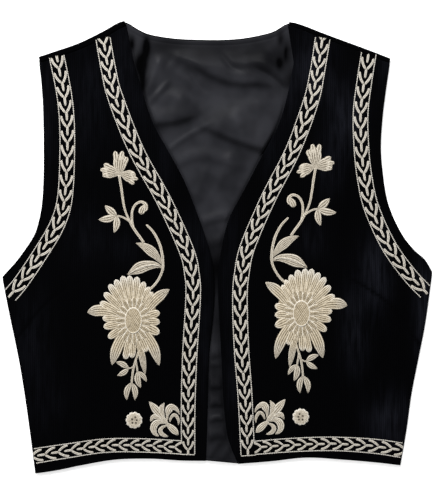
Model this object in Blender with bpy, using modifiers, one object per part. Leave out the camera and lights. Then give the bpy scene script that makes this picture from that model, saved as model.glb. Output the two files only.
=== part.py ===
"""A short, lined folk waistcoat, laid flat with its front up.

x runs to the right as it lies, y towards the neck and z up from the table, in metres.
The back lies on the table with its lining on it, and the two fronts lie on the lining.
At each shoulder the back turns over the edge and meets the front at the seam.
"""

import math

import bmesh
import bpy
import numpy as np

# Walls and how they stack, from the table up.
VELVET = 0.0015
SATIN = 0.0010
SEAM_GAP = 0.0003
LINING_Z = VELVET + SEAM_GAP
FRONT_Z = LINING_Z + SATIN + SEAM_GAP
FOLD_RADIUS = (FRONT_Z + VELVET) / 2

# How far the lining stays inside the back's own edge, and how soon a front comes down to its side seam.
LINING_INSET = {"side": 0.0070, "armhole": 0.0015, "hem": 0.0040, "neck": 0.0015, "shoulder": 0.0045}
SIDE_SEAM_REACH = 0.0050
UNDERARM_SHARE = 0.15

# The bands of stitching. The one on the hem is narrower.
BAND_WIDTH = {"front": 0.0175, "armhole": 0.0175, "hem": 0.0155}
BAND_CELL = 0.0140
BAND_THICK = 0.0007

# The flowers: padded stitching stands higher the more it is padded.
STEM_THICK = 0.0007
LEAF_THICK = 0.0009
FLOWER_THICK = 0.0011
STEM_WIDTH = 0.0028
LAYER_STEP = 0.00003
TIDY = 0.000004

# The outline as it lies. Edges run up, or in from the side, and each point is (x, y).
OUTLINE = {
    "left": {
        "side": [(-0.1993, -0.2485), (-0.2147, -0.1445), (-0.2375, -0.0325)],
        "armhole": [
            (-0.2375, -0.0325),
            (-0.2190, -0.0125),
            (-0.2015, 0.0135),
            (-0.1935, 0.0420),
            (-0.1905, 0.0900),
            (-0.1927, 0.1668),
            (-0.1966, 0.2102),
        ],
        "shoulder": [(-0.1966, 0.2102), (-0.1663, 0.2196), (-0.1311, 0.2339), (-0.1025, 0.2495)],
        "front_edge": [
            (-0.0123, -0.2358),
            (-0.0105, -0.1800),
            (-0.0090, -0.1225),
            (-0.0050, -0.0830),
            (-0.0022, -0.0477),
            (-0.0046, -0.0200),
            (-0.0115, 0.0080),
            (-0.0332, 0.0661),
            (-0.0701, 0.1354),
            (-0.0930, 0.2058),
        ],
        "hem": [(-0.1993, -0.2485), (-0.1399, -0.2369), (-0.0959, -0.2325), (-0.0123, -0.2358)],
        "seam_drop": 0.0070,
    },
    "right": {
        "side": [(0.2010, -0.2400), (0.2165, -0.1445), (0.2375, -0.0245)],
        "armhole": [
            (0.2375, -0.0245),
            (0.2088, 0.0051),
            (0.1901, 0.0403),
            (0.1813, 0.0843),
            (0.1796, 0.1228),
            (0.1846, 0.1723),
            (0.1906, 0.2074),
        ],
        "shoulder": [(0.1906, 0.2074), (0.1450, 0.2251), (0.0795, 0.2487)],
        "front_edge": [
            (0.0234, -0.2391),
            (0.0108, -0.2040),
            (0.0072, -0.1687),
            (0.0045, -0.1170),
            (0.0024, -0.0807),
            (0.0004, -0.0477),
            (0.0016, -0.0200),
            (0.0119, 0.0271),
            (0.0504, 0.1019),
            (0.0768, 0.1646),
            (0.0850, 0.2060),
        ],
        "hem": [(0.2010, -0.2400), (0.1505, -0.2347), (0.1109, -0.2314), (0.0234, -0.2391)],
        "seam_drop": 0.0055,
    },
}
NECK = [
    (-0.1025, 0.2495),
    (-0.0871, 0.2394),
    (-0.0695, 0.2322),
    (-0.0343, 0.2286),
    (0.0009, 0.2278),
    (0.0361, 0.2306),
    (0.0581, 0.2355),
    (0.0795, 0.2487),
]

# Soft swells that lift each front off the lining: centre, reach along x and y, and height.
SWELLS = {
    "left": [
        {"at": (-0.108, -0.070), "reach": (0.070, 0.100), "height": 0.0048},
        {"at": (-0.135, 0.110), "reach": (0.050, 0.080), "height": 0.0020},
        {"at": (-0.094, 0.185), "reach": (0.048, 0.060), "height": 0.0030},
        {"at": (-0.045, 0.090), "reach": (0.040, 0.055), "height": 0.0022},
        {"at": (-0.185, -0.090), "reach": (0.038, 0.070), "height": 0.0016},
        {"at": (-0.160, 0.010), "reach": (0.036, 0.040), "height": -0.0012},
    ],
    "right": [
        {"at": (0.112, -0.062), "reach": (0.066, 0.100), "height": 0.0052},
        {"at": (0.130, 0.115), "reach": (0.050, 0.080), "height": 0.0022},
        {"at": (0.082, 0.185), "reach": (0.048, 0.060), "height": 0.0030},
        {"at": (0.045, 0.090), "reach": (0.040, 0.055), "height": 0.0022},
        {"at": (0.182, -0.070), "reach": (0.038, 0.070), "height": 0.0022},
        {"at": (0.148, 0.020), "reach": (0.036, 0.040), "height": -0.0014},
    ],
}

# The creased satin of the lining: from, to, half width and height of each ridge.
LINING_FOLDS = [
    {"from": (-0.0354, 0.2080), "to": (-0.0024, 0.1943), "width": 0.0110, "height": 0.0030},
    {"from": (-0.0024, 0.1943), "to": (0.0490, 0.1844), "width": 0.0110, "height": 0.0034},
    {"from": (0.0490, 0.2010), "to": (0.0640, 0.1820), "width": 0.0100, "height": 0.0020},
    {"from": (-0.0560, 0.1420), "to": (-0.0320, 0.1440), "width": 0.0110, "height": 0.0026},
    {"from": (-0.0320, 0.1440), "to": (-0.0156, 0.1580), "width": 0.0110, "height": 0.0020},
    {"from": (-0.0090, 0.1426), "to": (0.0163, 0.1239), "width": 0.0110, "height": 0.0036},
    {"from": (0.0163, 0.1239), "to": (0.0420, 0.1118), "width": 0.0110, "height": 0.0030},
    {"from": (-0.0620, 0.2080), "to": (-0.0255, 0.1810), "width": 0.0110, "height": 0.0018},
    {"from": (-0.0134, 0.0840), "to": (-0.0120, 0.0500), "width": 0.0100, "height": 0.0020},
    {"from": (0.0110, 0.0900), "to": (0.0080, 0.0600), "width": 0.0090, "height": 0.0014},
]

# The bands of stitching: centre lines that run down to the hem, or out to the side.
BANDS = {
    "left": {
        "front": [
            (-0.1212, 0.2230),
            (-0.1180, 0.1960),
            (-0.1118, 0.1642),
            (-0.0889, 0.1063),
            (-0.0582, 0.0502),
            (-0.0337, -0.0040),
            (-0.0275, -0.0310),
            (-0.0263, -0.0560),
            (-0.0300, -0.1190),
            (-0.0318, -0.1750),
            (-0.0318, -0.2270),
        ],
        "armhole": [
            (-0.1755, 0.2030),
            (-0.1690, 0.1720),
            (-0.1655, 0.1420),
            (-0.1648, 0.1063),
            (-0.1672, 0.0560),
            (-0.1757, 0.0250),
            (-0.1935, -0.0060),
            (-0.2150, -0.0380),
            (-0.2225, -0.0475),
        ],
        "hem": [(-0.0412, -0.2210), (-0.0815, -0.2188), (-0.1230, -0.2190), (-0.1660, -0.2250), (-0.1945, -0.2296)],
    },
    "right": {
        "front": [
            (0.1165, 0.2235),
            (0.1100, 0.1900),
            (0.1030, 0.1591),
            (0.0836, 0.1063),
            (0.0567, 0.0537),
            (0.0340, 0.0010),
            (0.0275, -0.0280),
            (0.0252, -0.0560),
            (0.0268, -0.1104),
            (0.0309, -0.1665),
            (0.0339, -0.2294),
        ],
        "armhole": [
            (0.1660, 0.2060),
            (0.1625, 0.1836),
            (0.1581, 0.1485),
            (0.1586, 0.1134),
            (0.1621, 0.0783),
            (0.1700, 0.0430),
            (0.1890, 0.0010),
            (0.2120, -0.0310),
            (0.2240, -0.0430),
        ],
        "hem": [(0.0434, -0.2215), (0.0852, -0.2182), (0.1291, -0.2171), (0.1730, -0.2197), (0.1960, -0.2231)],
    },
}

# The flower spray is drawn once, for the left front, from the middle of its large flower.
SPRAY_AT = {"left": (-0.0926, -0.0807), "right": (0.0933, -0.0730)}
CORNER_AT = {"left": (-0.0588, -0.1900), "right": (0.0592, -0.1875)}
ROSETTE_AT = {"left": (-0.0913, -0.1910), "right": (0.0923, -0.1873)}
STEMS = {
    "stem": [(-0.0145, 0.1584), (-0.0124, 0.1433), (-0.0107, 0.1265), (-0.0069, 0.1139), (0.0020, 0.0985), (0.0120, 0.0830)],
    "vine": [
        (0.0136, 0.1054),
        (0.0196, 0.0996),
        (0.0258, 0.0894),
        (0.0312, 0.0770),
        (0.0341, 0.0620),
        (0.0335, 0.0520),
        (0.0290, 0.0400),
        (0.0200, 0.0280),
    ],
    "tendril": [
        (-0.0030, 0.1075),
        (0.0003, 0.1139),
        (0.0016, 0.1210),
        (0.0050, 0.1270),
        (0.0100, 0.1294),
        (0.0143, 0.1262),
        (0.0152, 0.1210),
        (0.0115, 0.1180),
    ],
    "twig": [(-0.0035, 0.1085), (-0.0110, 0.1120), (-0.0185, 0.1139)],
    "bud_stem": [(0.0020, -0.0330), (0.0035, -0.0500), (0.0002, -0.0596), (-0.0015, -0.0730)],
}
LEAVES = {
    "upper": {"from": (0.0330, 0.0630), "to": (0.0040, 0.0870), "width": 0.0115, "bend": 0.0010},
    "lower": {"from": (0.0330, 0.0560), "to": (-0.0050, 0.0500), "width": 0.0120, "bend": -0.0045},
    "bud_side": {"from": (0.0040, -0.0530), "to": (-0.0160, -0.0555), "width": 0.0110, "bend": 0.0},
    "bud_inner": {"from": (0.0010, -0.0550), "to": (0.0125, -0.0725), "width": 0.0100, "bend": 0.0},
    "bud_end": {"from": (-0.0012, -0.0670), "to": (-0.0020, -0.0890), "width": 0.0120, "bend": 0.0},
}

# Each round flower: its middle, and the lobes or leaves round it as (direction in degrees, reach).
BLOOM = {
    "at": (-0.0004, 0.0029),
    "reach": (0.0310, 0.0440),
    "petals": 24,
    "leaves": [(170, 0.0180), (40, 0.0160), (-116, 0.0130), (-77, 0.0170), (-52, 0.0160)],
    "leaf_half_angle": 11,
}
TREFOIL = {"at": (-0.0145, 0.1584), "lobes": [(88, 0.0245), (166, 0.0205), (-18, 0.0205)], "half_angle": 34}
SPRIG = {"at": (-0.0175, 0.1139), "lobes": [(134, 0.0150), (196, 0.0165), (268, 0.0165)], "half_angle": 27}
PALMETTE = {
    "lobes": [
        (131, 0.0240),
        (92, 0.0180),
        (50, 0.0175),
        (5, 0.0160),
        (-49, 0.0210),
        (-98, 0.0160),
        (-143, 0.0175),
        (172, 0.0175),
    ],
    "half_angle": 24,
}
ROSETTE = {"reach": 0.0100, "petals": 12}
FLOWER_MIDDLE = 0.0045
PETAL_NOTCH = 0.10

COLOURS = {
    "black_velvet": ((0.010, 0.010, 0.014), 0.85),
    "dark_satin": ((0.030, 0.031, 0.036), 0.38),
    "cream_thread": ((0.760, 0.690, 0.560), 0.60),
}


# Lines and panels


def smooth(points, per_span=12):
    """A smooth line through the points: on each span a cubic whose slope at a point follows its neighbours."""
    p = np.array(points, float)
    ends = np.vstack([2 * p[0] - p[1], p, 2 * p[-1] - p[-2]])
    t = np.linspace(0, 1, per_span, endpoint=False)[:, None]
    spans = []
    for a, b, c, d in zip(ends[:-3], ends[1:-2], ends[2:-1], ends[3:]):
        slope_b, slope_c = (c - a) / 2, (d - b) / 2
        cubic = (2 * t**3 - 3 * t**2 + 1) * b + (t**3 - 2 * t**2 + t) * slope_b
        spans.append(cubic + (3 * t**2 - 2 * t**3) * c + (t**3 - t**2) * slope_c)
    return np.vstack([*spans, p[-1:]])


def length_of(line):
    return np.linalg.norm(np.diff(line, axis=0), axis=1).sum()


def along(line, shares):
    """Points at these shares of the line's length."""
    step = np.linalg.norm(np.diff(line, axis=0), axis=1)
    far = np.concatenate([[0], np.cumsum(step)]) / step.sum()
    return np.stack([np.interp(shares, far, line[:, k]) for k in (0, 1)], axis=1)


def at_value(line, values, axis):
    """Points where the line reaches these values of x (axis 0) or y (axis 1)."""
    order = np.argsort(line[:, axis])
    other = np.interp(values, line[order, axis], line[order, 1 - axis])
    return np.stack([values, other] if axis == 0 else [other, values], axis=1)


def normals(line):
    """Unit vectors to the left of the line, seen from above."""
    run = np.gradient(line, axis=0)
    run /= np.linalg.norm(run, axis=1)[:, None]
    return np.stack([-run[:, 1], run[:, 0]], axis=1)


def patch(first, last, low, high, u, v):
    """The panel between four edges: first and last run up, low and high run across."""
    u, v = u[None, :, None], v[:, None, None]
    across = (1 - u) * first[:, None] + u * last[:, None]
    up = (1 - v) * low[None] + v * high[None]
    corners = (1 - v) * ((1 - u) * low[0] + u * low[-1]) + v * ((1 - u) * high[0] + u * high[-1])
    return across + up - corners


def edge_lines(side):
    """The edges of one side as smooth lines, and the seam where its front ends below the shoulder."""
    edges = {name: smooth(line) for name, line in OUTLINE[side].items() if name != "seam_drop"}
    run = edges["shoulder"][-1] - edges["shoulder"][0]
    out = np.array([-run[1], run[0]]) * math.copysign(1, run[0]) / np.hypot(*run)
    edges["out"] = out
    edges["seam"] = edges["shoulder"] - out * OUTLINE[side]["seam_drop"]
    return edges


# Heights


def ease(t):
    """A smooth step from 0 to 1."""
    t = np.clip(t, 0, 1)
    return t * t * (3 - 2 * t)


def far_from(line, x, y):
    """The distance of each point from a line."""
    best = np.full(x.shape, np.inf)
    for (ax, ay), (bx, by) in zip(line[:-1], line[1:]):
        dx, dy = bx - ax, by - ay
        t = np.clip(((x - ax) * dx + (y - ay) * dy) / (dx * dx + dy * dy), 0, 1)
        best = np.minimum(best, np.hypot(x - ax - t * dx, y - ay - t * dy))
    return best


def front_height(side, x, y):
    """The underside of a front: down on the back at the side seam, and lifted where the cloth is loose."""
    edges = edge_lines(side)
    from_side = far_from(edges["side"][::4], x, y)
    from_shoulder = far_from(edges["seam"][::4], x, y)
    loose = np.zeros(x.shape)
    for swell in SWELLS[side]:
        (cx, cy), (rx, ry) = swell["at"], swell["reach"]
        loose += swell["height"] * np.exp(-(((x - cx) / rx) ** 2) - ((y - cy) / ry) ** 2)
    free = ease(from_side / 0.060) * ease(from_shoulder / 0.060)
    seam = (FRONT_Z - LINING_Z) * (1 - np.clip(from_side / SIDE_SEAM_REACH, 0, 1))
    return FRONT_Z - seam + np.maximum(loose, 0.0) * free


def lining_height(x, y):
    """The underside of the lining: creased in the open front, and pressed flat under the fronts."""
    left, right = edge_lines("left"), edge_lines("right")
    edge_left = at_value(left["front_edge"], y.ravel(), 1)[:, 0].reshape(y.shape)
    edge_right = at_value(right["front_edge"], y.ravel(), 1)[:, 0].reshape(y.shape)
    inside = np.minimum(x - edge_left, edge_right - x)
    creases = np.zeros(x.shape)
    for fold in LINING_FOLDS:
        crest = np.array([fold["from"], fold["to"]])
        creases += fold["height"] * np.exp(-((far_from(crest, x, y) / fold["width"]) ** 2))
    from_neck = far_from(smooth(NECK, 4), x, y)
    return LINING_Z + creases * ease(inside / 0.020) * ease((from_neck - 0.004) / 0.014)


# Building


def clear_scene():
    for thing in list(bpy.data.objects):
        bpy.data.objects.remove(thing)


def material(name):
    colour, roughness = COLOURS[name]
    made = bpy.data.materials.get(name) or bpy.data.materials.new(name)
    made.use_nodes = True
    shader = made.node_tree.nodes["Principled BSDF"]
    shader.inputs["Base Color"].default_value = (*colour, 1)
    shader.inputs["Roughness"].default_value = roughness
    return made


def grid_mesh(name, points):
    """A sheet whose corners are the points, rows by columns by (x, y, z), with its faces pointing up."""
    rows, columns = points.shape[:2]
    bm = bmesh.new()
    bmesh.ops.create_grid(bm, x_segments=columns - 1, y_segments=rows - 1, size=0.5)
    for vert in bm.verts:
        column = round((vert.co.x + 0.5) * (columns - 1))
        row = round((vert.co.y + 0.5) * (rows - 1))
        vert.co = points[row, column]
    mesh = bpy.data.meshes.new(name)
    bm.to_mesh(mesh)
    bm.free()
    return mesh


def add_wall(name, mesh, thickness, finish, collection):
    """A sheet thickened to the side that its faces point to."""
    thing = bpy.data.objects.new(name, mesh)
    collection.objects.link(thing)
    mesh.materials.append(material(finish))
    mesh.shade_smooth()
    wall = thing.modifiers.new("wall", "SOLIDIFY")
    wall.thickness = thickness
    wall.offset = 1
    wall.use_even_offset = True
    return thing


def build_front(side, collection):
    """A front: rows follow the side seam and the armhole, columns run in to the front edge."""
    edges = edge_lines(side)
    top = edges["seam"] - edges["out"] * SEAM_GAP
    armhole = smooth([*OUTLINE[side]["armhole"][:-1], top[0]])
    front_edge = smooth([*OUTLINE[side]["front_edge"], top[-1]])
    outer = np.vstack([along(edges["side"], np.linspace(0, 1, 13)), along(armhole, np.linspace(0, 1, 17))[1:]])
    v = (outer[:, 1] - outer[0, 1]) / (outer[-1, 1] - outer[0, 1])
    inner = at_value(front_edge, front_edge[0, 1] + v * (front_edge[-1, 1] - front_edge[0, 1]), 1)
    inner[0], inner[-1] = front_edge[0], front_edge[-1]
    seam_column = SIDE_SEAM_REACH / abs(inner[0, 0] - outer[0, 0])
    u = np.concatenate([[0], np.linspace(seam_column, 1, 14)])
    plan = patch(outer, inner, along(edges["hem"], u), along(top, u), u, v)
    points = np.dstack([plan, front_height(side, plan[..., 0], plan[..., 1])])
    if side == "right":
        points = points[:, ::-1]
    return add_wall("front_" + side, grid_mesh("front_" + side, points), VELVET, "black_velvet", collection)


def back_plan(inset, side_rows, armhole_rows, u):
    """The plan of the back, or of its lining when the edges are moved in."""
    outers = []
    for side, turn in (("left", -1), ("right", 1)):
        edges = edge_lines(side)
        arm_shares = np.linspace(0, 1, armhole_rows + 1)[1:]
        line = np.vstack(
            [along(edges["side"], np.linspace(0, 1, side_rows + 1)), along(edges["armhole"], arm_shares)]
        )
        near_side = np.concatenate([np.ones(side_rows + 1), np.clip(1 - arm_shares / UNDERARM_SHARE, 0, 1)])
        moved = inset["armhole"] + (inset["side"] - inset["armhole"]) * near_side
        outers.append(line + normals(line) * (turn * moved)[:, None])
    left, right = edge_lines("left"), edge_lines("right")
    hem = np.vstack([left["hem"], right["hem"][::-1]]) + (0, inset["hem"])
    shoulder_left = left["shoulder"] - left["out"] * inset["shoulder"]
    shoulder_right = right["shoulder"] - right["out"] * inset["shoulder"]
    top = np.vstack([shoulder_left, smooth(NECK)[3:-3] - (0, inset["neck"]), shoulder_right[::-1]])
    low = at_value(hem, outers[0][0, 0] + u * (outers[1][0, 0] - outers[0][0, 0]), 0)
    high = at_value(top, outers[0][-1, 0] + u * (outers[1][-1, 0] - outers[0][-1, 0]), 0)
    for outer, column in zip(outers, (0, -1)):
        outer[0], outer[-1] = low[column], high[column]
    v = (outers[0][:, 1] - outers[0][0, 1]) / (outers[0][-1, 1] - outers[0][0, 1])
    return patch(*outers, low, high, u, v)


def back_columns(shoulder_steps, neck_steps):
    """Shares across the back, with a column at each end of the neck."""
    left_tip, right_tip = OUTLINE["left"]["shoulder"][0][0], OUTLINE["right"]["shoulder"][0][0]
    stops = [(x - left_tip) / (right_tip - left_tip) for x in (left_tip, NECK[0][0], NECK[-1][0], right_tip)]
    counts = (shoulder_steps, neck_steps, shoulder_steps)
    parts = [np.linspace(a, b, n, endpoint=False) for a, b, n in zip(stops, stops[1:], counts)]
    return np.concatenate([*parts, [1.0]])


def build_back(collection):
    """The back: flat on the table, and turned over each shoulder to the seam."""
    shoulder_steps, neck_steps, turn_steps = 4, 8, 5
    inset = {"side": 0, "armhole": 0, "hem": 0, "neck": 0, "shoulder": FOLD_RADIUS}
    plan = back_plan(inset, 5, 9, back_columns(shoulder_steps, neck_steps))
    flat = np.dstack([plan, np.zeros(plan.shape[:2])])
    turned = []
    for side, columns in (("left", slice(0, shoulder_steps + 1)), ("right", slice(-shoulder_steps - 1, None))):
        out = edge_lines(side)["out"]
        top = plan[-1, columns]
        rows = []
        for angle in np.radians(np.linspace(-90, 90, turn_steps + 1)[1:]):
            rise = np.full(len(top), FOLD_RADIUS * (1 + math.sin(angle)))
            rows.append(np.column_stack([top + out * FOLD_RADIUS * math.cos(angle), rise]))
        strip = OUTLINE[side]["seam_drop"] - FOLD_RADIUS
        rows.append(np.column_stack([top - out * strip, np.full(len(top), 2 * FOLD_RADIUS)]))
        turned.append(np.array(rows))
    unused = np.zeros((turn_steps + 1, neck_steps - 1, 3))
    points = np.vstack([flat, np.hstack([turned[0], unused, turned[1]])])
    mesh = grid_mesh("back", points)
    bm = bmesh.new()
    bm.from_mesh(mesh)
    bmesh.ops.delete(bm, geom=[vert for vert in bm.verts if vert.co.length == 0], context="VERTS")
    bm.to_mesh(mesh)
    bm.free()
    return add_wall("back", mesh, VELVET, "black_velvet", collection)


def build_lining(collection):
    plan = back_plan(LINING_INSET, 7, 20, back_columns(2, 16))
    points = np.dstack([plan, lining_height(plan[..., 0], plan[..., 1])])
    return add_wall("back_lining", grid_mesh("back_lining", points), SATIN, "dark_satin", collection)


# Stitching. Each piece is made flat, and then moved up by the height of the front that it lies on.


def rest_on_front(mesh, side):
    count = len(mesh.vertices)
    co = np.empty(count * 3)
    mesh.vertices.foreach_get("co", co)
    co = co.reshape(-1, 3)
    co[:, 2] += front_height(side, co[:, 0], co[:, 1]) + VELVET + SEAM_GAP
    mesh.vertices.foreach_set("co", co.ravel())
    mesh.update()


def ribbon_mesh(name, line, widths, cells_across):
    """A flat strip along a line, with that width at each of its points."""
    sides = np.linspace(0.5, -0.5, cells_across + 1)
    plan = line[:, None] + normals(line)[:, None] * widths[:, None, None] * sides[None, :, None]
    return grid_mesh(name, np.dstack([plan, np.zeros(plan.shape[:2])]))


def disc_mesh(name, centre, reach_of, rings, turns):
    """A flat shape round a centre. reach_of gives its reach in each direction, and rings the shares of it."""
    angle = np.linspace(0, 2 * math.pi, turns + 1)
    reach = np.concatenate([[0], rings])[:, None] * reach_of(angle)[None]
    x = centre[0] + reach * np.cos(angle)
    y = centre[1] + reach * np.sin(angle)
    mesh = grid_mesh(name, np.dstack([x, y, np.zeros(x.shape)])[:, ::-1])
    bm = bmesh.new()
    bm.from_mesh(mesh)
    bmesh.ops.remove_doubles(bm, verts=bm.verts, dist=0.00002)
    bm.to_mesh(mesh)
    bm.free()
    return mesh


def angle_off(angle, degrees):
    """How many degrees each direction is away from one direction."""
    return np.degrees(np.abs(np.angle(np.exp(1j * (angle - math.radians(degrees))))))


def lobed_reach(lobes, half_angle, side):
    """Rounded lobes round a small middle."""

    def reach_of(angle):
        reach = np.full(angle.shape, FLOWER_MIDDLE)
        for degrees, length in lobes:
            off = angle_off(angle, facing(degrees, side)) / half_angle
            reach = np.maximum(reach, length * np.sqrt(np.clip(1 - off**2, 0, 1)))
        return reach

    return reach_of


def bloom_reach(side):
    """An oval edge notched into petals, with pointed leaves that reach past it."""

    def reach_of(angle):
        rx, ry = BLOOM["reach"]
        oval = rx * ry / np.hypot(ry * np.cos(angle), rx * np.sin(angle))
        reach = oval * (1 - PETAL_NOTCH * np.abs(np.sin(angle * BLOOM["petals"] / 2)))
        for degrees, length in BLOOM["leaves"]:
            off = angle_off(angle, facing(degrees, side)) / BLOOM["leaf_half_angle"]
            reach = reach + length * np.clip(1 - off, 0, 1)
        return reach

    return reach_of


def rosette_reach(angle):
    return ROSETTE["reach"] * (1 - PETAL_NOTCH * np.abs(np.sin(angle * ROSETTE["petals"] / 2)))


def facing(degrees, side):
    """A direction on the left front, or its mirror image on the right."""
    return degrees if side == "left" else 180 - degrees


def placed(point, side):
    """A point of the spray, moved to its place on a front. The right front has its mirror image."""
    turn = 1 if side == "left" else -1
    return (SPRAY_AT[side][0] + turn * point[0], SPRAY_AT[side][1] + point[1])


def leaf_mesh(name, leaf, side):
    start, end = np.array(placed(leaf["from"], side)), np.array(placed(leaf["to"], side))
    t = np.linspace(0, 1, 8)
    run = end - start
    turn = 1 if side == "left" else -1
    bow = np.array([-run[1], run[0]]) / np.hypot(*run) * leaf["bend"] * turn
    line = start + t[:, None] * run + np.sin(math.pi * t)[:, None] * bow
    widths = leaf["width"] * np.clip(np.sin(math.pi * t) ** 0.7, 0.12, 1)
    return ribbon_mesh(name, line, widths, 2)


def build_bands(side, collection):
    """The three bands of stitching on a front."""
    for place, centre in BANDS[side].items():
        line = smooth(centre)
        cells = round(length_of(line) / BAND_CELL)
        line = along(line, np.linspace(0, 1, cells + 1))
        name = f"band_{place}_{side}"
        mesh = ribbon_mesh(name, line, np.full(len(line), BAND_WIDTH[place]), 2)
        rest_on_front(mesh, side)
        add_wall(name, mesh, BAND_THICK, "cream_thread", collection)


def build_spray(side, collection, shapes):
    """The stems, leaves and flowers of the spray, joined into one piece of stitching.

    Each shape lies a hair higher than the last, so that no two undersides share a plane.
    """
    pieces = []
    for name, centre in STEMS.items():
        points = [placed(point, side) for point in centre]
        line = along(smooth(points), np.linspace(0, 1, 2 * len(points)))
        mesh = ribbon_mesh(f"{name}_{side}", line, np.full(len(line), STEM_WIDTH), 1)
        pieces.append(add_wall(mesh.name, mesh, STEM_THICK, "cream_thread", shapes))
    for name, leaf in LEAVES.items():
        mesh = leaf_mesh(f"leaf_{name}_{side}", leaf, side)
        pieces.append(add_wall(mesh.name, mesh, LEAF_THICK, "cream_thread", shapes))
    for name, flower in (("trefoil", TREFOIL), ("sprig", SPRIG)):
        reach_of = lobed_reach(flower["lobes"], flower["half_angle"], side)
        mesh = disc_mesh(f"{name}_{side}", placed(flower["at"], side), reach_of, [1.0], 30)
        pieces.append(add_wall(mesh.name, mesh, LEAF_THICK, "cream_thread", shapes))
    mesh = disc_mesh("bloom_" + side, placed(BLOOM["at"], side), bloom_reach(side), [0.3, 0.65, 1.0], 48)
    whole = add_wall("bloom_" + side, mesh, FLOWER_THICK, "cream_thread", shapes)
    for layer, piece in enumerate(pieces, 1):
        piece.location.z = layer * LAYER_STEP
        join = whole.modifiers.new("join_" + piece.name, "BOOLEAN")
        join.operation = "UNION"
        join.object = piece
    evaluated = whole.evaluated_get(bpy.context.evaluated_depsgraph_get())
    mesh = bpy.data.meshes.new_from_object(evaluated)
    mesh.name = "spray_" + side
    bm = bmesh.new()
    bm.from_mesh(mesh)
    bmesh.ops.remove_doubles(bm, verts=bm.verts, dist=TIDY)
    bmesh.ops.dissolve_degenerate(bm, edges=bm.edges, dist=TIDY)
    bm.to_mesh(mesh)
    bm.free()
    rest_on_front(mesh, side)
    spray = bpy.data.objects.new("spray_" + side, mesh)
    collection.objects.link(spray)
    for piece in [whole, *pieces]:
        bpy.data.objects.remove(piece)


def build_corner(side, collection):
    """The palmette and the rosette above the hem band."""
    reach_of = lobed_reach(PALMETTE["lobes"], PALMETTE["half_angle"], side)
    shapes = {
        "palmette": (CORNER_AT[side], reach_of, [0.6, 1.0], 48),
        "rosette": (ROSETTE_AT[side], rosette_reach, [0.5, 1.0], 24),
    }
    for name, (centre, reach_of, rings, turns) in shapes.items():
        mesh = disc_mesh(f"{name}_{side}", centre, reach_of, rings, turns)
        rest_on_front(mesh, side)
        add_wall(mesh.name, mesh, FLOWER_THICK, "cream_thread", collection)


def main():
    clear_scene()
    waistcoat = bpy.data.collections.new("embroidered_waistcoat")
    shapes = bpy.data.collections.new("shapes_to_join")
    for collection in (waistcoat, shapes):
        bpy.context.scene.collection.children.link(collection)
    build_back(waistcoat)
    build_lining(waistcoat)
    for side in ("left", "right"):
        build_front(side, waistcoat)
        build_bands(side, waistcoat)
        build_spray(side, waistcoat, shapes)
        build_corner(side, waistcoat)


main()
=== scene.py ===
# %% [markdown]
# # A short embroidered folk waistcoat, laid flat
#
# The real garment is cut from black velvet with a fine cord, lined with dark grey satin and
# covered with cream machine stitching. It lies on its back with both fronts folded over the
# lining, and the camera looks straight down at it.
#
# This notebook builds it piece by piece: first the cloth, as thin curved walls worked out from
# the cut of the garment, and then the stitching, as small padded shapes that lie on the cloth.
# All tables are in millimetres, and `MM` turns them into Blender's metres.

import bpy
import numpy as np
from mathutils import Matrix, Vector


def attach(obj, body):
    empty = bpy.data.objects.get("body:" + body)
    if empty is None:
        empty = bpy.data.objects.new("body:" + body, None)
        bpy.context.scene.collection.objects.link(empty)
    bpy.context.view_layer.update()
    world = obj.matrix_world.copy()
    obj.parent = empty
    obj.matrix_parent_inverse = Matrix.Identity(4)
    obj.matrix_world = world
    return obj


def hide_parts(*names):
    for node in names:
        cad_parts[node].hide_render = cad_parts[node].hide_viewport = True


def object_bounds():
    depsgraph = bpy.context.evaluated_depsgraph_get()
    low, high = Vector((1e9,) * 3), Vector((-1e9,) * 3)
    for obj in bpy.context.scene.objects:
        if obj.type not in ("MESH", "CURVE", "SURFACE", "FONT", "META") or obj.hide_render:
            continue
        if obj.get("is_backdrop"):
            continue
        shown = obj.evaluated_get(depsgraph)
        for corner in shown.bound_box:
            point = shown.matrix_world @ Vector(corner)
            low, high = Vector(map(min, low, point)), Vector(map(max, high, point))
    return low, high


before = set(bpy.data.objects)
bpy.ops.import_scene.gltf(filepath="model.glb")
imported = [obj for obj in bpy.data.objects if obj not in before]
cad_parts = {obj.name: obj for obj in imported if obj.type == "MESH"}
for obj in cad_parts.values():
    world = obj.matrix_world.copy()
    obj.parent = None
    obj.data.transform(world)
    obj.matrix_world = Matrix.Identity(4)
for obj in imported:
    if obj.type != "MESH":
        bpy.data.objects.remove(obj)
cad_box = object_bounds()
MM = 0.001


def rows_of(columns, *rows):
    """A table: each row becomes a dictionary with these column names."""
    return [dict(zip(columns.split(), row)) for row in rows]


print("nodes:", ", ".join(sorted(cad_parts)))

# %% [markdown]
# ## Camera, table and light
#
# The garment was photographed from straight above. A long lens from far away keeps its outline
# free of perspective. One pixel of the picture is 1.1 mm on the cloth, which fixes how far the
# camera stands. The table glows a little by itself, so it stays white under the weak light that
# black cloth and pale thread need together. The key light stands well beyond the neck. From so
# far away it is nearly as strong on the hem as on the shoulders, and its low angle shows the
# creases and the rows of thread. A weak light on either side opens the shadows.

# %% Camera, table and light
PICTURE = {"height_px": 495, "mm_per_px": 1.1, "middle": (0.5, -0.8)}
LENS, SENSOR = 120.0, 36.0
CLOTH_TOP = 7.0
TABLE = {"half_width": 3.0, "grey": 0.8, "roughness": 0.9, "glow": 0.62}
WORLD_LIGHT = 0.11


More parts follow.
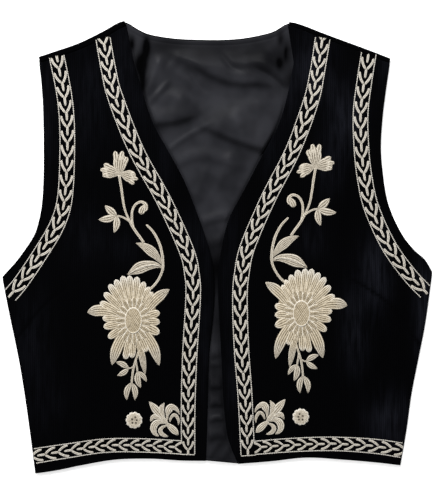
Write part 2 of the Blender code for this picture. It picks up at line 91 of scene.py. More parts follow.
def make_camera():
    """Height over the cloth = half the picture's height on the cloth * lens / half the sensor."""
    half_view = PICTURE["height_px"] * PICTURE["mm_per_px"] / 2
    distance = half_view * LENS / (SENSOR / 2) + CLOTH_TOP
    data = bpy.data.cameras.new("camera")
    data.lens, data.sensor_width = LENS, SENSOR
    camera = bpy.data.objects.new("camera", data)
    bpy.context.scene.collection.objects.link(camera)
    x, y = PICTURE["middle"]
    camera.location = (x * MM, y * MM, distance * MM)
    bpy.context.scene.camera = camera
    print(f"camera {distance:.0f} mm above the table")


def make_light(name, location, size, energy):
    """A square soft box that points at the middle of the garment."""
    data = bpy.data.lights.new(name, "AREA")
    data.energy, data.size = energy, size
    light = bpy.data.objects.new(name, data)
    light.location = location
    direction = -light.location
    light.rotation_euler = direction.to_track_quat("-Z", "Y").to_euler()
    bpy.context.scene.collection.objects.link(light)


def make_table():
    """One square face at height 0, of white paint that glows a little."""
    mesh = bpy.data.meshes.new("table")
    far, grey = TABLE["half_width"], TABLE["grey"]
    mesh.from_pydata([(-far, -far, 0), (far, -far, 0), (far, far, 0), (-far, far, 0)], [], [(0, 1, 2, 3)])
    table = bpy.data.objects.new("table", mesh)
    bpy.context.scene.collection.objects.link(table)
    paint = bpy.data.materials.new("white_table")
    paint.use_nodes = True
    shader = paint.node_tree.nodes["Principled BSDF"]
    shader.inputs["Base Color"].default_value = (grey, grey, grey, 1)
    shader.inputs["Roughness"].default_value = TABLE["roughness"]
    shader.inputs["Emission Color"].default_value = (1, 1, 1, 1)
    shader.inputs["Emission Strength"].default_value = TABLE["glow"]
    mesh.materials.append(paint)
    table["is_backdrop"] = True


def make_world():
    """An even, weak white light from all round."""
    world = bpy.data.worlds.new("studio")
    world.use_nodes = True
    background = world.node_tree.nodes["Background"]
    background.inputs["Color"].default_value = (1, 1, 1, 1)
    background.inputs["Strength"].default_value = WORLD_LIGHT
    bpy.context.scene.world = world


make_camera()
make_table()
make_world()
make_light("key", location=(-0.50, 2.20, 1.85), size=1.1, energy=128)
make_light("side", location=(-1.5, 0.5, 1.2), size=0.8, energy=14)
make_light("fill", location=(1.3, -0.3, 1.6), size=1.2, energy=7)
bpy.context.scene.view_settings.view_transform = "Standard"

# %% [markdown]
# ## Colour and feel
#
# Three materials cover the whole garment: velvet, satin and thread. Each is one Principled shader
# whose patterns are worked out from where a point lies on the garment. A pattern is written here
# as plain arithmetic on values, and each operator adds the node that it stands for. So a line of
# code reads like the formula, and no node has to be linked by hand.

# %% Values that write nodes


class Signal:
    """One value in a material's node tree, so that shader maths reads as plain arithmetic."""

    def __init__(self, tree, socket):
        self.tree, self.socket = tree, socket

    def node(self, kind, settings, inputs, output=0):
        """Any other node: its settings first, and then its sockets."""
        made = self.tree.nodes.new(kind)
        for name, value in settings.items():
            setattr(made, name, value)
        for name, value in inputs.items():
            if isinstance(value, Signal):
                self.tree.links.new(value.socket, made.inputs[name])
            else:
                made.inputs[name].default_value = value
        return Signal(self.tree, made.outputs[output])

    def math(self, operation, other=0.0):
        """A Math node on this value and another one."""
        return self.node("ShaderNodeMath", {"operation": operation}, {0: self, 1: other})

    def __add__(self, other):
        return self.math("ADD", other)

    __radd__ = __add__

    def __mul__(self, other):
        return self.math("MULTIPLY", other)

    __rmul__ = __mul__

    def __sub__(self, other):
        return self.math("SUBTRACT", other)

    def __rsub__(self, other):
        return (self * -1) + other

    def sin(self):
        """The sine of an angle in radians."""
        return self.math("SINE")

    def abs(self):
        """The value without its sign."""
        return self.math("ABSOLUTE")

    def fraction(self):
        """How far the value is past the whole number below it."""
        return self.math("FRACT")

    def clamp(self):
        """Kept between 0 and 1."""
        return self.node("ShaderNodeClamp", {}, {0: self})

    def step(self, low, high):
        """0 below low, 1 above high and smooth between."""
        inputs = {"Value": self, "From Min": low, "From Max": high}
        return self.node("ShaderNodeMapRange", {"interpolation_type": "SMOOTHSTEP"}, inputs)

    def mix(self, first, second):
        """From one colour to another as this value goes from 0 to 1."""
        inputs = {0: self, 6: first, 7: second}
        return self.node("ShaderNodeMix", {"data_type": "RGBA"}, inputs, 2)

    def scaled(self, factors):
        """A vector, multiplied along each axis."""
        return self.node("ShaderNodeVectorMath", {"operation": "MULTIPLY"}, {0: self, 1: factors})


# %% A material with one shader


class Paint:
    """A material with one Principled shader."""

    def __init__(self, name, **constants):
        self.material = bpy.data.materials.new(name)
        self.material.use_nodes = True
        self.tree = self.material.node_tree
        self.shader = self.tree.nodes["Principled BSDF"]
        for socket, value in constants.items():
            self.shader.inputs[socket.replace("_", " ")].default_value = value

    def source(self, kind, output, **settings):
        """A node that nothing feeds."""
        made = self.tree.nodes.new(kind)
        for name, value in settings.items():
            setattr(made, name, value)
        return Signal(self.tree, made.outputs[output])

    def place(self):
        """Where a point lies on the garment, in metres."""
        return self.source("ShaderNodeTexCoord", "Object")

    def painted(self, name):
        """A number that is stored with the points of the mesh."""
        return self.source("ShaderNodeAttribute", "Fac", attribute_name=name)

    def axes(self, vector):
        """The x, y and z of a vector."""
        made = self.tree.nodes.new("ShaderNodeSeparateXYZ")
        self.tree.links.new(vector.socket, made.inputs[0])
        return [Signal(self.tree, made.outputs[k]) for k in range(3)]

    def noise(self, vector, scale, detail=2.0):
        """Soft random spots, about as many to the metre as the scale says."""
        inputs = {"Vector": vector, "Scale": scale, "Detail": detail}
        return vector.node("ShaderNodeTexNoise", {}, inputs)

    def feed(self, socket, signal):
        """Links a value to a socket of the shader."""
        self.tree.links.new(signal.socket, self.shader.inputs[socket])

    def bump(self, height, distance, strength=1.0):
        """Fine relief: height * distance, in metres."""
        inputs = {"Height": height, "Distance": distance, "Strength": strength}
        self.feed("Normal", height.node("ShaderNodeBump", {}, inputs))


# %% [markdown]
# ### Velvet
#
# This velvet is black with fine cords, and nearly all light that falls between its hairs is lost.
# Where the pile has been brushed, its tips catch some light, in streaks that follow the cords.
# Sheen would model that on the whole cloth at once. So it is kept to a trace here, and that light
# is painted into the colour as sheen: a number on the mesh says where the tips show. The cords and
# single hairs are bump.

# %% Velvet
PILE = {"deep": (0.0007, 0.0007, 0.0008, 1), "tip": (0.0075, 0.0080, 0.0112, 1)}
CORD = {"pitch": 2.1 * MM, "drift": 3 * MM, "drifts_per_m": 9.0}
PATCHES = {"per_m": 26.0, "share": 0.45}
STREAKS = {"per_m": 240.0, "squeeze": (1.0, 0.12, 1.0), "share": 0.75}
HAIRS_PER_M = 2600.0
PILE_LIGHT = {"even": 0.08, "tips": 1.2, "roots": 0.35, "everywhere": 0.09}
VELVET_BUMP = {"height": 0.25 * MM, "strength": 0.7, "hairs": 0.6}


def make_velvet():
    """Painted sheen = where the pile catches light * (patches + streaks) * pile, and a little of the pile
    everywhere.
    """
    sheen = {"Sheen_Weight": 0.001, "Sheen_Roughness": 0.4, "Sheen_Tint": (0.62, 0.64, 0.75, 1)}
    paint = Paint("velvet", Roughness=0.95, Specular_IOR_Level=0.003, **sheen)
    place = paint.place()
    drift = paint.noise(place, CORD["drifts_per_m"]) * CORD["drift"]
    cord = ((paint.axes(place)[0] + drift) * (np.pi / CORD["pitch"])).sin().abs()
    streaks = paint.noise(place.scaled(STREAKS["squeeze"]), STREAKS["per_m"], 2.0).step(0.3, 0.7)
    patches = paint.noise(place, PATCHES["per_m"], 3.0).step(0.25, 0.75)
    patchy = patches * PATCHES["share"] + streaks * STREAKS["share"]
    hairs = paint.noise(place, HAIRS_PER_M, 1.0)
    pile = cord * 0.5 + hairs * 0.5
    # Painted sheen: the colour goes from deep black to the lighter tip where the mesh's number says the
    # pile catches light.
    caught = pile * PILE_LIGHT["tips"] + PILE_LIGHT["roots"]
    light = paint.painted("brushed_sheen") * (patchy + PILE_LIGHT["even"]) * caught
    light = light + pile * PILE_LIGHT["everywhere"]
    paint.feed("Base Color", light.clamp().mix(PILE["deep"], PILE["tip"]))
    relief = cord + hairs * VELVET_BUMP["hairs"]
    paint.bump(relief, VELVET_BUMP["height"], VELVET_BUMP["strength"])
    return paint.material


# %% [markdown]
# ### Satin
#
# The lining is a dark grey satin with a soft shine. Its finest crumples and its twill are bump.
# The shine is a clear coat over a matt colour, because both can fade together, by a number that
# is painted on the mesh, open_to_light. A plain highlight would shine in the shadows too.

# %% Satin
SATIN_COLOURS = {
    "shadow": (0.0012, 0.0012, 0.0014, 1),
    "deep": (0.0145, 0.0149, 0.0180, 1),
    "lit": (0.0298, 0.0304, 0.0360, 1),
}
SATIN_GLOSS = 0.15
TWILL_PITCH = 0.8 * MM
CLOUDS_PER_M, CRUMPLES_PER_M = 30.0, 130.0
SATIN_BUMP = {"height": 0.10 * MM, "strength": 0.5, "crumples": 2, "twill": 0.25}


def make_satin():
    """From shadow to a cloudy grey, and from no coat to a full one, as the light gets in."""
    paint = Paint("satin", Roughness=0.6, Specular_IOR_Level=0.0, Coat_Roughness=0.42, Coat_IOR=1.5)
    place = paint.place()
    x, y = paint.axes(place)[:2]
    twill = ((x + y) * (2 * np.pi / TWILL_PITCH)).sin()
    open_to_light = paint.painted("open_to_light")
    clouds = paint.noise(place, CLOUDS_PER_M).step(0.3, 0.7)
    colour = clouds.mix(SATIN_COLOURS["deep"], SATIN_COLOURS["lit"])
    paint.feed("Base Color", open_to_light.mix(SATIN_COLOURS["shadow"], colour))
    paint.feed("Coat Weight", open_to_light * SATIN_GLOSS)
    crumples = paint.noise(place, CRUMPLES_PER_M, 3.0)
    relief = crumples * SATIN_BUMP["crumples"] + twill * SATIN_BUMP["twill"]
    paint.bump(relief, SATIN_BUMP["height"], SATIN_BUMP["strength"])
    return paint.material


# %% [markdown]
# ### Thread
#
# The stitching is a cream viscose with a soft shine. Its tone comes from each row, as a number
# on the mesh: pale on an outline and cream in the filling. Shade is painted into the same number:
# it darkens down the flanks of each row to nearly black in the valley between two rows, and
# between the single stitches. The single stitches run along each row, so they follow the mesh's
# own UV map. The thread looks warmer in the large flowers than in the bands and corners, so a
# second number, greyish, goes from the warm ramp of colours to the cool one.

# %% Thread
# gap is the colour of painted shade, in the valleys between rows and between the single stitches.
THREAD_COLOURS = {
    "gap": (0.012, 0.010, 0.008, 1),
    "tan": (0.30, 0.24, 0.15, 1),
    "cream": (0.60, 0.52, 0.39, 1),
    "pale": (0.78, 0.75, 0.68, 1),
    "grey": (0.545, 0.525, 0.485, 1),
}
STITCH = {"pitch": 1.15, "slant": 0.4, "shade": 0.14}
FIBRES = {"per_m": 1500.0, "shade": 0.10, "relief": 0.5}
MOTTLE = {"per_m": 520.0, "shade": 0.50}
THREAD_BUMP = {"height": 0.22 * MM, "strength": 0.8}


def make_thread():
    """Shade = tone * stitch + mottle + fibres, and then two ramps of colour."""
    paint = Paint("thread", Roughness=0.62, Sheen_Weight=0.15, Specular_IOR_Level=0.35)
    along, across = paint.axes(paint.source("ShaderNodeUVMap", "UV", uv_map="thread"))[:2]
    chevron = (across.fraction() * 2 - 1).abs()
    stitch = ((along * (1 / STITCH["pitch"]) + chevron * STITCH["slant"]).fraction() * np.pi).sin()
    fibres = paint.noise(paint.place(), FIBRES["per_m"], 1.0)
    mottle = paint.noise(paint.place(), MOTTLE["per_m"], 2.0)
    lit = paint.painted("tone") * (1 - STITCH["shade"] + stitch * STITCH["shade"])
    shade = lit + (mottle - 0.5) * MOTTLE["shade"] + (fibres - 0.5) * FIBRES["shade"]
    warm = shade.step(0.0, 0.33).mix(THREAD_COLOURS["gap"], THREAD_COLOURS["tan"])
    warm = shade.step(0.3, 0.7).mix(warm, THREAD_COLOURS["cream"])
    warm = shade.step(0.65, 1.0).mix(warm, THREAD_COLOURS["pale"])
    cool = shade.step(0.0, 0.8).mix(THREAD_COLOURS["gap"], THREAD_COLOURS["grey"])
    paint.feed("Base Color", paint.painted("greyish").mix(warm, cool))
    paint.bump(stitch + fibres * FIBRES["relief"], THREAD_BUMP["height"], THREAD_BUMP["strength"])
    return paint.material


MATERIALS = {"velvet": make_velvet(), "satin": make_satin(), "thread": make_thread()}
print("materials:", ", ".join(MATERIALS))

# %% [markdown]
# ## Lines and panels
#
# A cut panel has four edges. Each edge is a few points with a smooth curve through them, as a
# pattern cutter draws it with a French curve. A Coons patch then fills the panel: it blends the
# two pairs of opposite edges and takes away the part that both pairs share.

# %% Smooth lines


def smooth(points, per_span=16):
    """A cubic on each span, whose slope at a point is half the way between its neighbours."""
    p = np.array(points, float) * MM
    ends = np.vstack([2 * p[0] - p[1], p, 2 * p[-1] - p[-2]])
    t = np.linspace(0, 1, per_span, endpoint=False)[:, None]
    spans = []
    for a, b, c, d in zip(ends[:-3], ends[1:-2], ends[2:-1], ends[3:]):
        slope_b, slope_c = (c - a) / 2, (d - b) / 2
        cubic = (2 * t**3 - 3 * t**2 + 1) * b + (t**3 - 2 * t**2 + t) * slope_b
        spans.append(cubic + (3 * t**2 - 2 * t**3) * c + (t**3 - t**2) * slope_c)
    return np.vstack([*spans, p[-1:]])


def distances(line):
    """How far along the line each of its points is."""
    return np.concatenate([[0], np.cumsum(np.linalg.norm(np.diff(line, axis=0), axis=1))])


def point_at(line, along):
    """The points at these distances along the line, past its ends in a straight run."""
    far = distances(line)
    inside = np.clip(along, 0, far[-1])
    point = np.stack([np.interp(inside, far, line[:, k]) for k in (0, 1)], axis=-1)
    first, last = line[1] - line[0], line[-1] - line[-2]
    before = np.minimum(along, 0)[..., None] * first / np.linalg.norm(first)
    after = np.maximum(along - far[-1], 0)[..., None] * last / np.linalg.norm(last)
    return point + before + after


def at_share(line, share):
    """The points at these shares of the line's length."""
    return point_at(line, share * distances(line)[-1])


def left_of(line, along):
    """Unit vectors to the left of the line at these distances along it."""
    step = 0.5 * MM
    run = point_at(line, along + step) - point_at(line, along - step)
    run /= np.linalg.norm(run, axis=-1)[..., None]
    return np.stack([-run[..., 1], run[..., 0]], axis=-1)


def where_y(line, y):
    """The points where a rising line reaches these values of y."""
    order = np.argsort(line[:, 1])
    return np.stack([np.interp(y, line[order, 1], line[order, 0]), y], axis=-1)


def patch(first, last, low, high, u, v):
    """A Coons patch: u runs across and v up. low and high are read at u, first and last at v."""
    u, v = u[..., None], v[:, None, None]
    across = (1 - u) * first[:, None] + u * last[:, None]
    up = (1 - v) * at_share(low, u[..., 0]) + v * at_share(high, u[..., 0])
    corners = (1 - v) * ((1 - u) * low[0] + u * low[-1]) + v * ((1 - u) * high[0] + u * high[-1])
    return across + up - corners


def ease(t):
    """A smooth step from 0 to 1."""
    t = np.clip(t, 0, 1)
    return t * t * (3 - 2 * t)


def coarse(line):
    """Every fourth point of a smooth line, which is enough to measure distances from."""
    return line[::4]


def nearest(line, x, y):
    """For each point: its distance from the line, its side (left is 1) and its share of the way along."""
    best = np.full(x.shape, np.inf)
    side, share = np.ones(x.shape), np.zeros(x.shape)
    far = distances(line)
    for k, ((ax, ay), (bx, by)) in enumerate(zip(line[:-1], line[1:])):
        dx, dy = bx - ax, by - ay
        t = np.clip(((x - ax) * dx + (y - ay) * dy) / (dx * dx + dy * dy), 0, 1)
        away = np.hypot(x - ax - t * dx, y - ay - t * dy)
        closer = away < best
        best = np.where(closer, away, best)
        side = np.where(closer, np.sign(dx * (y - ay) - dy * (x - ax)), side)
        share = np.where(closer, (far[k] + t * (far[k + 1] - far[k])) / far[-1], share)
    return best, side, share


# %% [markdown]
# ## The cut
#
# The outline is measured from the picture, edge by edge. The garment lies a little askew, as
# cloth does, so its two halves aren't mirror images. Sides run up from the hem, and hems and
# shoulders run in from the side.

# %% The outline
OUTLINE = {
    "left": {
        "side": [
            (-200.5, -250.0), (-206.4, -204.0), (-212.3, -162.5), (-218.9, -123.0), (-229.9, -70.0),
            (-237.0, -33.5),
        ],
        "armhole": [
            (-237.0, -33.5), (-222.2, -17.3), (-212.3, -4.1), (-203.5, 9.1), (-198.0, 22.3),
            (-192.8, 48.7), (-191.0, 88.3), (-191.4, 141.0), (-193.2, 176.0), (-196.9, 209.3),
        ],
        "shoulder": [
            (-196.9, 209.3), (-178.8, 215.4), (-152.4, 224.6), (-126.0, 237.4), (-112.8, 245.1),
            (-102.5, 250.0),
        ],
        "front_edge": [
            (-12.3, -236.0), (-10.5, -180.0), (-9.0, -122.5), (-5.0, -83.0), (-2.6, -47.7),
            (-4.8, -20.0), (-11.7, 8.0), (-33.2, 66.1), (-50.0, 99.0), (-70.1, 135.4), (-81.0, 167.0),
            (-91.5, 203.0),
        ],
        "hem": [
            (-200.5, -250.0), (-178.8, -246.8), (-152.4, -241.4), (-112.8, -234.7), (-73.2, -233.6),
            (-40.0, -235.6), (-12.3, -236.0),
        ],
        "seam_drop": 7.0,
    },
    "right": {
        "side": [
            (202.2, -241.0), (209.0, -202.0), (214.5, -162.5), (222.2, -123.0), (229.9, -83.3),
            (237.5, -28.0),
        ],
        "armhole": [
            (237.5, -28.0), (229.0, -14.0), (217.8, -4.1), (206.8, 9.1), (199.1, 22.3), (192.6, 36.5),
            (187.4, 52.0), (183.4, 75.1), (180.6, 108.0), (182.4, 141.0), (185.9, 170.0),
            (191.4, 207.6),
        ],
        "shoulder": [
            (191.4, 207.6), (164.5, 218.0), (138.1, 227.7), (111.7, 237.6), (95.0, 244.2),
            (80.0, 248.7),
        ],
        "front_edge": [
            (23.4, -239.3), (16.0, -222.0), (10.8, -204.0), (7.2, -168.7), (4.5, -117.0), (2.6, -80.7),
            (1.2, -47.7), (1.9, -20.0), (11.9, 27.1), (30.0, 63.0), (50.4, 101.9), (67.0, 133.0),
            (76.8, 164.6), (84.5, 203.0),
        ],
        "hem": [
            (202.2, -241.0), (177.7, -238.0), (138.1, -234.6), (98.5, -232.4), (60.0, -236.4),
            (23.4, -239.3),
        ],
        "seam_drop": 5.5,
    },
}
NECK = [
    (-102.5, 250.0), (-86.4, 239.6), (-73.2, 234.1), (-46.8, 229.9), (-20.4, 228.6), (6.1, 228.4),
    (32.5, 230.6), (58.9, 236.3), (70.0, 242.0), (80.0, 248.7),
]
VELVET, SATIN, GAP = 1.5 * MM, 1.0 * MM, 0.3 * MM
LINING_Z = VELVET + GAP
FRONT_Z = LINING_Z + SATIN + GAP
FOLD_RADIUS = (FRONT_Z + VELVET) / 2


def lines_of(side):
    """The edges of one half as smooth lines, and the seam where its front ends."""
    edges = {name: smooth(line) for name, line in OUTLINE[side].items() if name != "seam_drop"}
    run = edges["shoulder"][-1] - edges["shoulder"][0]
    out = np.array([-run[1], run[0]]) * np.sign(run[0]) / np.linalg.norm(run)
    edges["out"] = out
    edges["seam"] = edges["shoulder"] - out * OUTLINE[side]["seam_drop"] * MM
    return edges


EDGES = {side: lines_of(side) for side in OUTLINE}
NECK_LINE = smooth(NECK)
for side in EDGES:
    print(side, "hem", round(distances(EDGES[side]["hem"])[-1] / MM), "mm long")

# %% [markdown]
# ## How the fronts lie
#
# A lined velvet front is soft but thick. It never lies quite flat: it swells over the bust,
# dips along the dart and lifts a little at the shoulder. Each swell is a bell curve, and each
# fold is a bell curve across a line, broad on one side and steep on the other.

# %% Swells and folds
SWELLS = {
    "left": rows_of(
        "at reach height",
        ((-108, -70), (70, 100), 4.8),
        ((-135, 110), (50, 80), 2.0),
        ((-94, 185), (48, 60), 3.0),
        ((-45, 90), (40, 55), 2.2),
        ((-185, -90), (38, 70), 1.6),
        ((-160, 10), (36, 40), -1.2),
    ),
    "right": rows_of(
        "at reach height",
        ((112, -62), (66, 100), 5.2),
        ((130, 115), (50, 80), 2.2),
        ((82, 185), (48, 60), 3.0),
        ((45, 90), (40, 55), 2.2),
        ((182, -70), (38, 70), 2.2),
        ((148, 20), (36, 40), -1.4),
    ),
}
FRONT_FOLDS = {
    "left": rows_of(
        "crest height broad steep",
        ([(-206, -60), (-196, -110), (-190, -160)], 1.0, 16, 11),
        ([(-165, 60), (-170, 10), (-182, -25)], -0.8, 12, 10),
        ([(-150, 170), (-148, 120), (-146, 70)], 0.7, 12, 9),
        ([(-172, -212), (-130, -205), (-90, -212)], 0.7, 14, 10),
        ([(-50, -60), (-52, -110), (-56, -150)], 0.6, 10, 8),
    ),
    "right": rows_of(
        "crest height broad steep",
        ([(172, 8), (160, -40), (158, -96)], 1.3, 14, 9),
        ([(196, -60), (182, -110), (180, -160)], -1.2, 14, 10),
        ([(206, -110), (200, -160), (180, -205)], 1.2, 14, 10),
        ([(134, 190), (130, 140), (140, 95)], 0.9, 12, 9),
        ([(140, 60), (146, 10), (138, -30)], -0.9, 11, 9),
        ([(60, -60), (58, -110), (60, -150)], 0.6, 10, 8),
    ),
}
DART_FOLD = {"height": -0.7, "broad": 1.6, "steep": 1.6}
DARTS = {
    "left": {"crest": [(-225, -106), (-190, -64), (-152, -36)], **DART_FOLD},
    "right": {"crest": [(223, -107), (189, -63), (150.4, -36)], **DART_FOLD},
}
SIDE_SEAM_REACH, DART_START = 5.0 * MM, 8 * MM
LOOSE_FROM = 60 * MM
FOLD_FADE = 0.3
print(sum(len(folds) for folds in FRONT_FOLDS.values()), "folds and", len(DARTS), "darts on the fronts")


def fold_height(folds, x, y):
    """The sum of height * a bell curve of the distance from the crest, faded at both ends."""
    total = np.zeros(x.shape)
    for fold in folds:
        away, side, share = nearest(smooth(fold["crest"], 6), x, y)
        reach = np.where(side > 0, fold["broad"], fold["steep"]) * MM
        fade = ease(share / FOLD_FADE) * ease((1 - share) / FOLD_FADE)
        total += fold["height"] * MM * np.exp(-((away / reach) ** 2)) * fade
    return total


def bells(table, amount, x, y):
    """The sum of amount * exp(-(dx / rx)^2 - (dy / ry)^2) over the rows of a table."""
    total = np.zeros(x.shape)
    for bell in table:
        (cx, cy), (rx, ry) = bell["at"], bell["reach"]
        total += bell[amount] * np.exp(-(((x / MM - cx) / rx) ** 2) - ((y / MM - cy) / ry) ** 2)
    return total


def front_underside(side, x, y):
    """How high the underside lies: swells and folds that fade to the seams, and the dart."""
    from_side = nearest(coarse(EDGES[side]["side"]), x, y)[0]
    from_seam = nearest(coarse(EDGES[side]["seam"]), x, y)[0]
    swell = bells(SWELLS[side], "height", x, y) * MM
    loose = np.maximum(swell + fold_height(FRONT_FOLDS[side], x, y), 0)
    free = ease(from_side / LOOSE_FROM) * ease(from_seam / LOOSE_FROM)
    puckers = fold_height([DARTS[side]], x, y)
    seam = (FRONT_Z - LINING_Z) * (1 - np.clip(from_side / SIDE_SEAM_REACH, 0, 1))
    return FRONT_Z - seam + loose * free + puckers * ease(from_side / DART_START)


# %% [markdown]
# ## Cloth as a closed wall
#
# Cloth has two faces and an edge. One grid gives the middle of the wall. The two faces lie half
# the thickness away along the normal. Along a turned edge the thickness falls to nothing on a
# quarter circle, so the faces meet in a soft, rounded edge, and both share its points.

# %% Walls
EDGE_ROUND = 1.6 * MM
LEAST_WALL = 0.1 * MM
TOPSTITCH = {"inset": 4.6 * MM, "width": 0.7 * MM, "depth": 0.22 * MM}


def rounded(distance, thickness, radius=EDGE_ROUND):
    """Thickness at this distance from a turned edge: a quarter circle, and then the full one."""
    rise = 1 - np.clip(distance / radius, 0, 1)
    return thickness * np.sqrt(np.clip(1 - rise**2, 0, 1))


def groove(distance):
    """How deep the topstitching pulls the cloth in: a bell curve of the distance."""
    away = (distance - TOPSTITCH["inset"]) / TOPSTITCH["width"]
    return TOPSTITCH["depth"] * np.exp(-(away**2))


def mesh_object(name, points, faces):
    """A smooth-shaded mesh whose object sits at the origin."""
    mesh = bpy.data.meshes.new(name)
    mesh.from_pydata(points.tolist(), [], faces)
    mesh.validate()
    mesh.shade_smooth()
    thing = bpy.data.objects.new(name, mesh)
    bpy.context.scene.collection.objects.link(thing)
    return thing


def wall(name, middle, thickness, keep=None):
    """A closed wall round a grid of rows and columns: middle + and - normal * thickness / 2.

    Its two faces share their points where it has no thickness. keep says which cells of the
    grid are cloth, where not all of them are.
    """
    rows, columns = middle.shape[:2]
    normal = np.cross(np.gradient(middle, axis=1), np.gradient(middle, axis=0))
    normal /= np.maximum(np.linalg.norm(normal, axis=2), 1e-12)[..., None]
    offset = normal * thickness[..., None] / 2
    points = np.concatenate([(middle + offset).reshape(-1, 3), (middle - offset).reshape(-1, 3)])
    top = np.arange(rows * columns).reshape(rows, columns)
    bottom = np.where(thickness > 0, top + rows * columns, top)
    cells = np.ones((rows - 1, columns - 1), bool) if keep is None else keep
    upper = np.stack([top[:-1, :-1], top[:-1, 1:], top[1:, 1:], top[1:, :-1]], axis=-1)[cells]
    turned = [bottom[:-1, :-1], bottom[1:, :-1], bottom[1:, 1:], bottom[:-1, 1:]]
    lower = np.stack(turned, axis=-1)[cells]
    used, renumbered = np.unique(np.concatenate([upper, lower]), return_inverse=True)
    faces = renumbered.reshape(-1, 4)
    thing = mesh_object(name, points[used], faces.tolist())
    print(name, len(faces), "faces")
    return thing


def paint_points(thing, name, value_at):
    """Stores a number with each point of a mesh, worked out from where the point lies."""
    places = np.empty(len(thing.data.vertices) * 3)
    thing.data.vertices.foreach_get("co", places)
    x, y = places.reshape(-1, 3).T[:2]
    thing.data.attributes.new(name, "FLOAT", "POINT").data.foreach_set("value", value_at(x, y))


EDGE_STEPS = np.array([0, 0.15, 0.4, 0.8, 1.3, 2.0, 3.0, 3.9, 4.6, 5.3, 6.4, 8.0]) * MM


def spread(length, step):
    """Shares of a length from 0 to 1: fine steps at both ends and even steps between."""
    length = np.asarray(length)
    inner = length - 2 * EDGE_STEPS[-1]
    count = max(int(np.max(inner) / step), 2)
    even = EDGE_STEPS[-1] + np.multiply.outer(inner, np.linspace(0, 1, count + 1)[1:-1])
    start = np.broadcast_to(EDGE_STEPS, length.shape + EDGE_STEPS.shape)
    end = length[..., None] - EDGE_STEPS[::-1]
    return np.concatenate([start, even, end], axis=-1) / length[..., None]


# %% [markdown]
# ## The two fronts
#
# Rows of each front follow the side seam and then the armhole. Columns run in to the front edge.
# The steps are fine along the turned edges, where the cloth curves down and is stitched, and
# about 3 mm elsewhere. Velvet is darkest where its pile points at the viewer. Here and there a
# hand has brushed it the other way, and those patches catch the light: that sheen is painted into
# the colour, each patch a soft bell. Along the seam of the bust dart the painted sheen leaves out a
# thin line, painted shade that stays dark where it crosses such a patch.

# %% Fronts
CLOTH_STEP = 2.7 * MM
# A thin line of painted shade along the dart's seam, where the painted sheen falls away.
DART_SHADE = {"darker": 0.9, "reach": 1.8 * MM}
# Painted sheen: soft bells where the pile lies the other way and catches light, so its colour is lighter.
BRUSHED_SHEEN = {
    "left": rows_of(
        "at reach lighter",
        ((-142, 160), (22, 62), 0.24),
        ((-191, 152), (12, 60), 0.34),
        ((-102, 196), (16, 50), 0.30),
        ((-146, 14), (22, 30), 0.20),
        ((-205, -100), (20, 46), 0.26),
        ((-186, -168), (24, 40), 0.16),
        ((-100, -2), (22, 18), 0.14),
        ((-78, 160), (12, 46), 0.16),
        ((-24, 10), (16, 34), 0.20),
        ((-14, -90), (8, 90), 0.22),
        ((-58, 96), (10, 40), 0.16),
    ),
    "right": rows_of(
        "at reach lighter",
        ((142, 138), (17, 36), 0.74),
        ((106, 192), (20, 36), 0.62),
        ((192, 196), (16, 30), 0.30),
        ((122, 88), (16, 30), 0.34),
        ((175, -30), (15, 36), 0.90),
        ((152, -90), (15, 42), 0.62),
        ((190, -192), (24, 26), 0.80),
        ((229, -76), (10, 60), 0.95),
        ((104, 8), (16, 20), 0.28),
        ((78, 170), (12, 44), 0.26),
        ((16, -20), (12, 60), 0.18),
        ((16, -150), (9, 70), 0.20),
        ((58, 106), (10, 36), 0.18),
    ),
}


def rows_between(outer, inner, v):
    """The ends of each row, at these shares of the height of both edges."""
    ends = []
    for line in (outer, inner):
        low, high = line[0, 1], line[-1, 1]
        ends.append(where_y(line, low + v * (high - low)))
    return ends


def front_plan(side):
    """The panel as rows and columns of (x, y). It ends half a gap below the shoulder seam."""
    edges = EDGES[side]
    top = edges["seam"] - edges["out"] * GAP / 2
    outer = np.vstack([edges["side"][:-1], edges["armhole"][:-1], top[:1]])
    inner = np.vstack([edges["front_edge"], top[-1:]])
    v = spread(outer[-1, 1] - outer[0, 1], CLOTH_STEP)
    first, last = rows_between(outer, inner, v)
    u = spread(np.linalg.norm(last - first, axis=1), CLOTH_STEP)
    return patch(first, last, edges["hem"], top, u, v)


def front_borders(side):
    """Two lines: the edges that are turned and topstitched, and the seams."""
    edges = EDGES[side]
    turned = [coarse(edges["armhole"]), coarse(edges["hem"]), coarse(edges["front_edge"])]
    return turned, [coarse(edges["side"]), coarse(edges["seam"])]


def front_thickness(side, x, y):
    """The thickness of the wall, and how deep the topstitching lies."""
    turned, seams = front_borders(side)
    from_turned = np.min([nearest(line, x, y)[0] for line in turned], axis=0)
    from_seams = np.min([nearest(line, x, y)[0] for line in seams], axis=0)
    both = np.minimum(from_turned, from_seams)
    return rounded(both, VELVET), groove(from_turned) * ease(from_seams / (3 * MM))


def front_top(side, x, y):
    """How high the upper face of a front lies, where the stitching rests on it."""
    thickness, pulled = front_thickness(side, x, y)
    return front_underside(side, x, y) + (VELVET + thickness) / 2 - pulled / 2


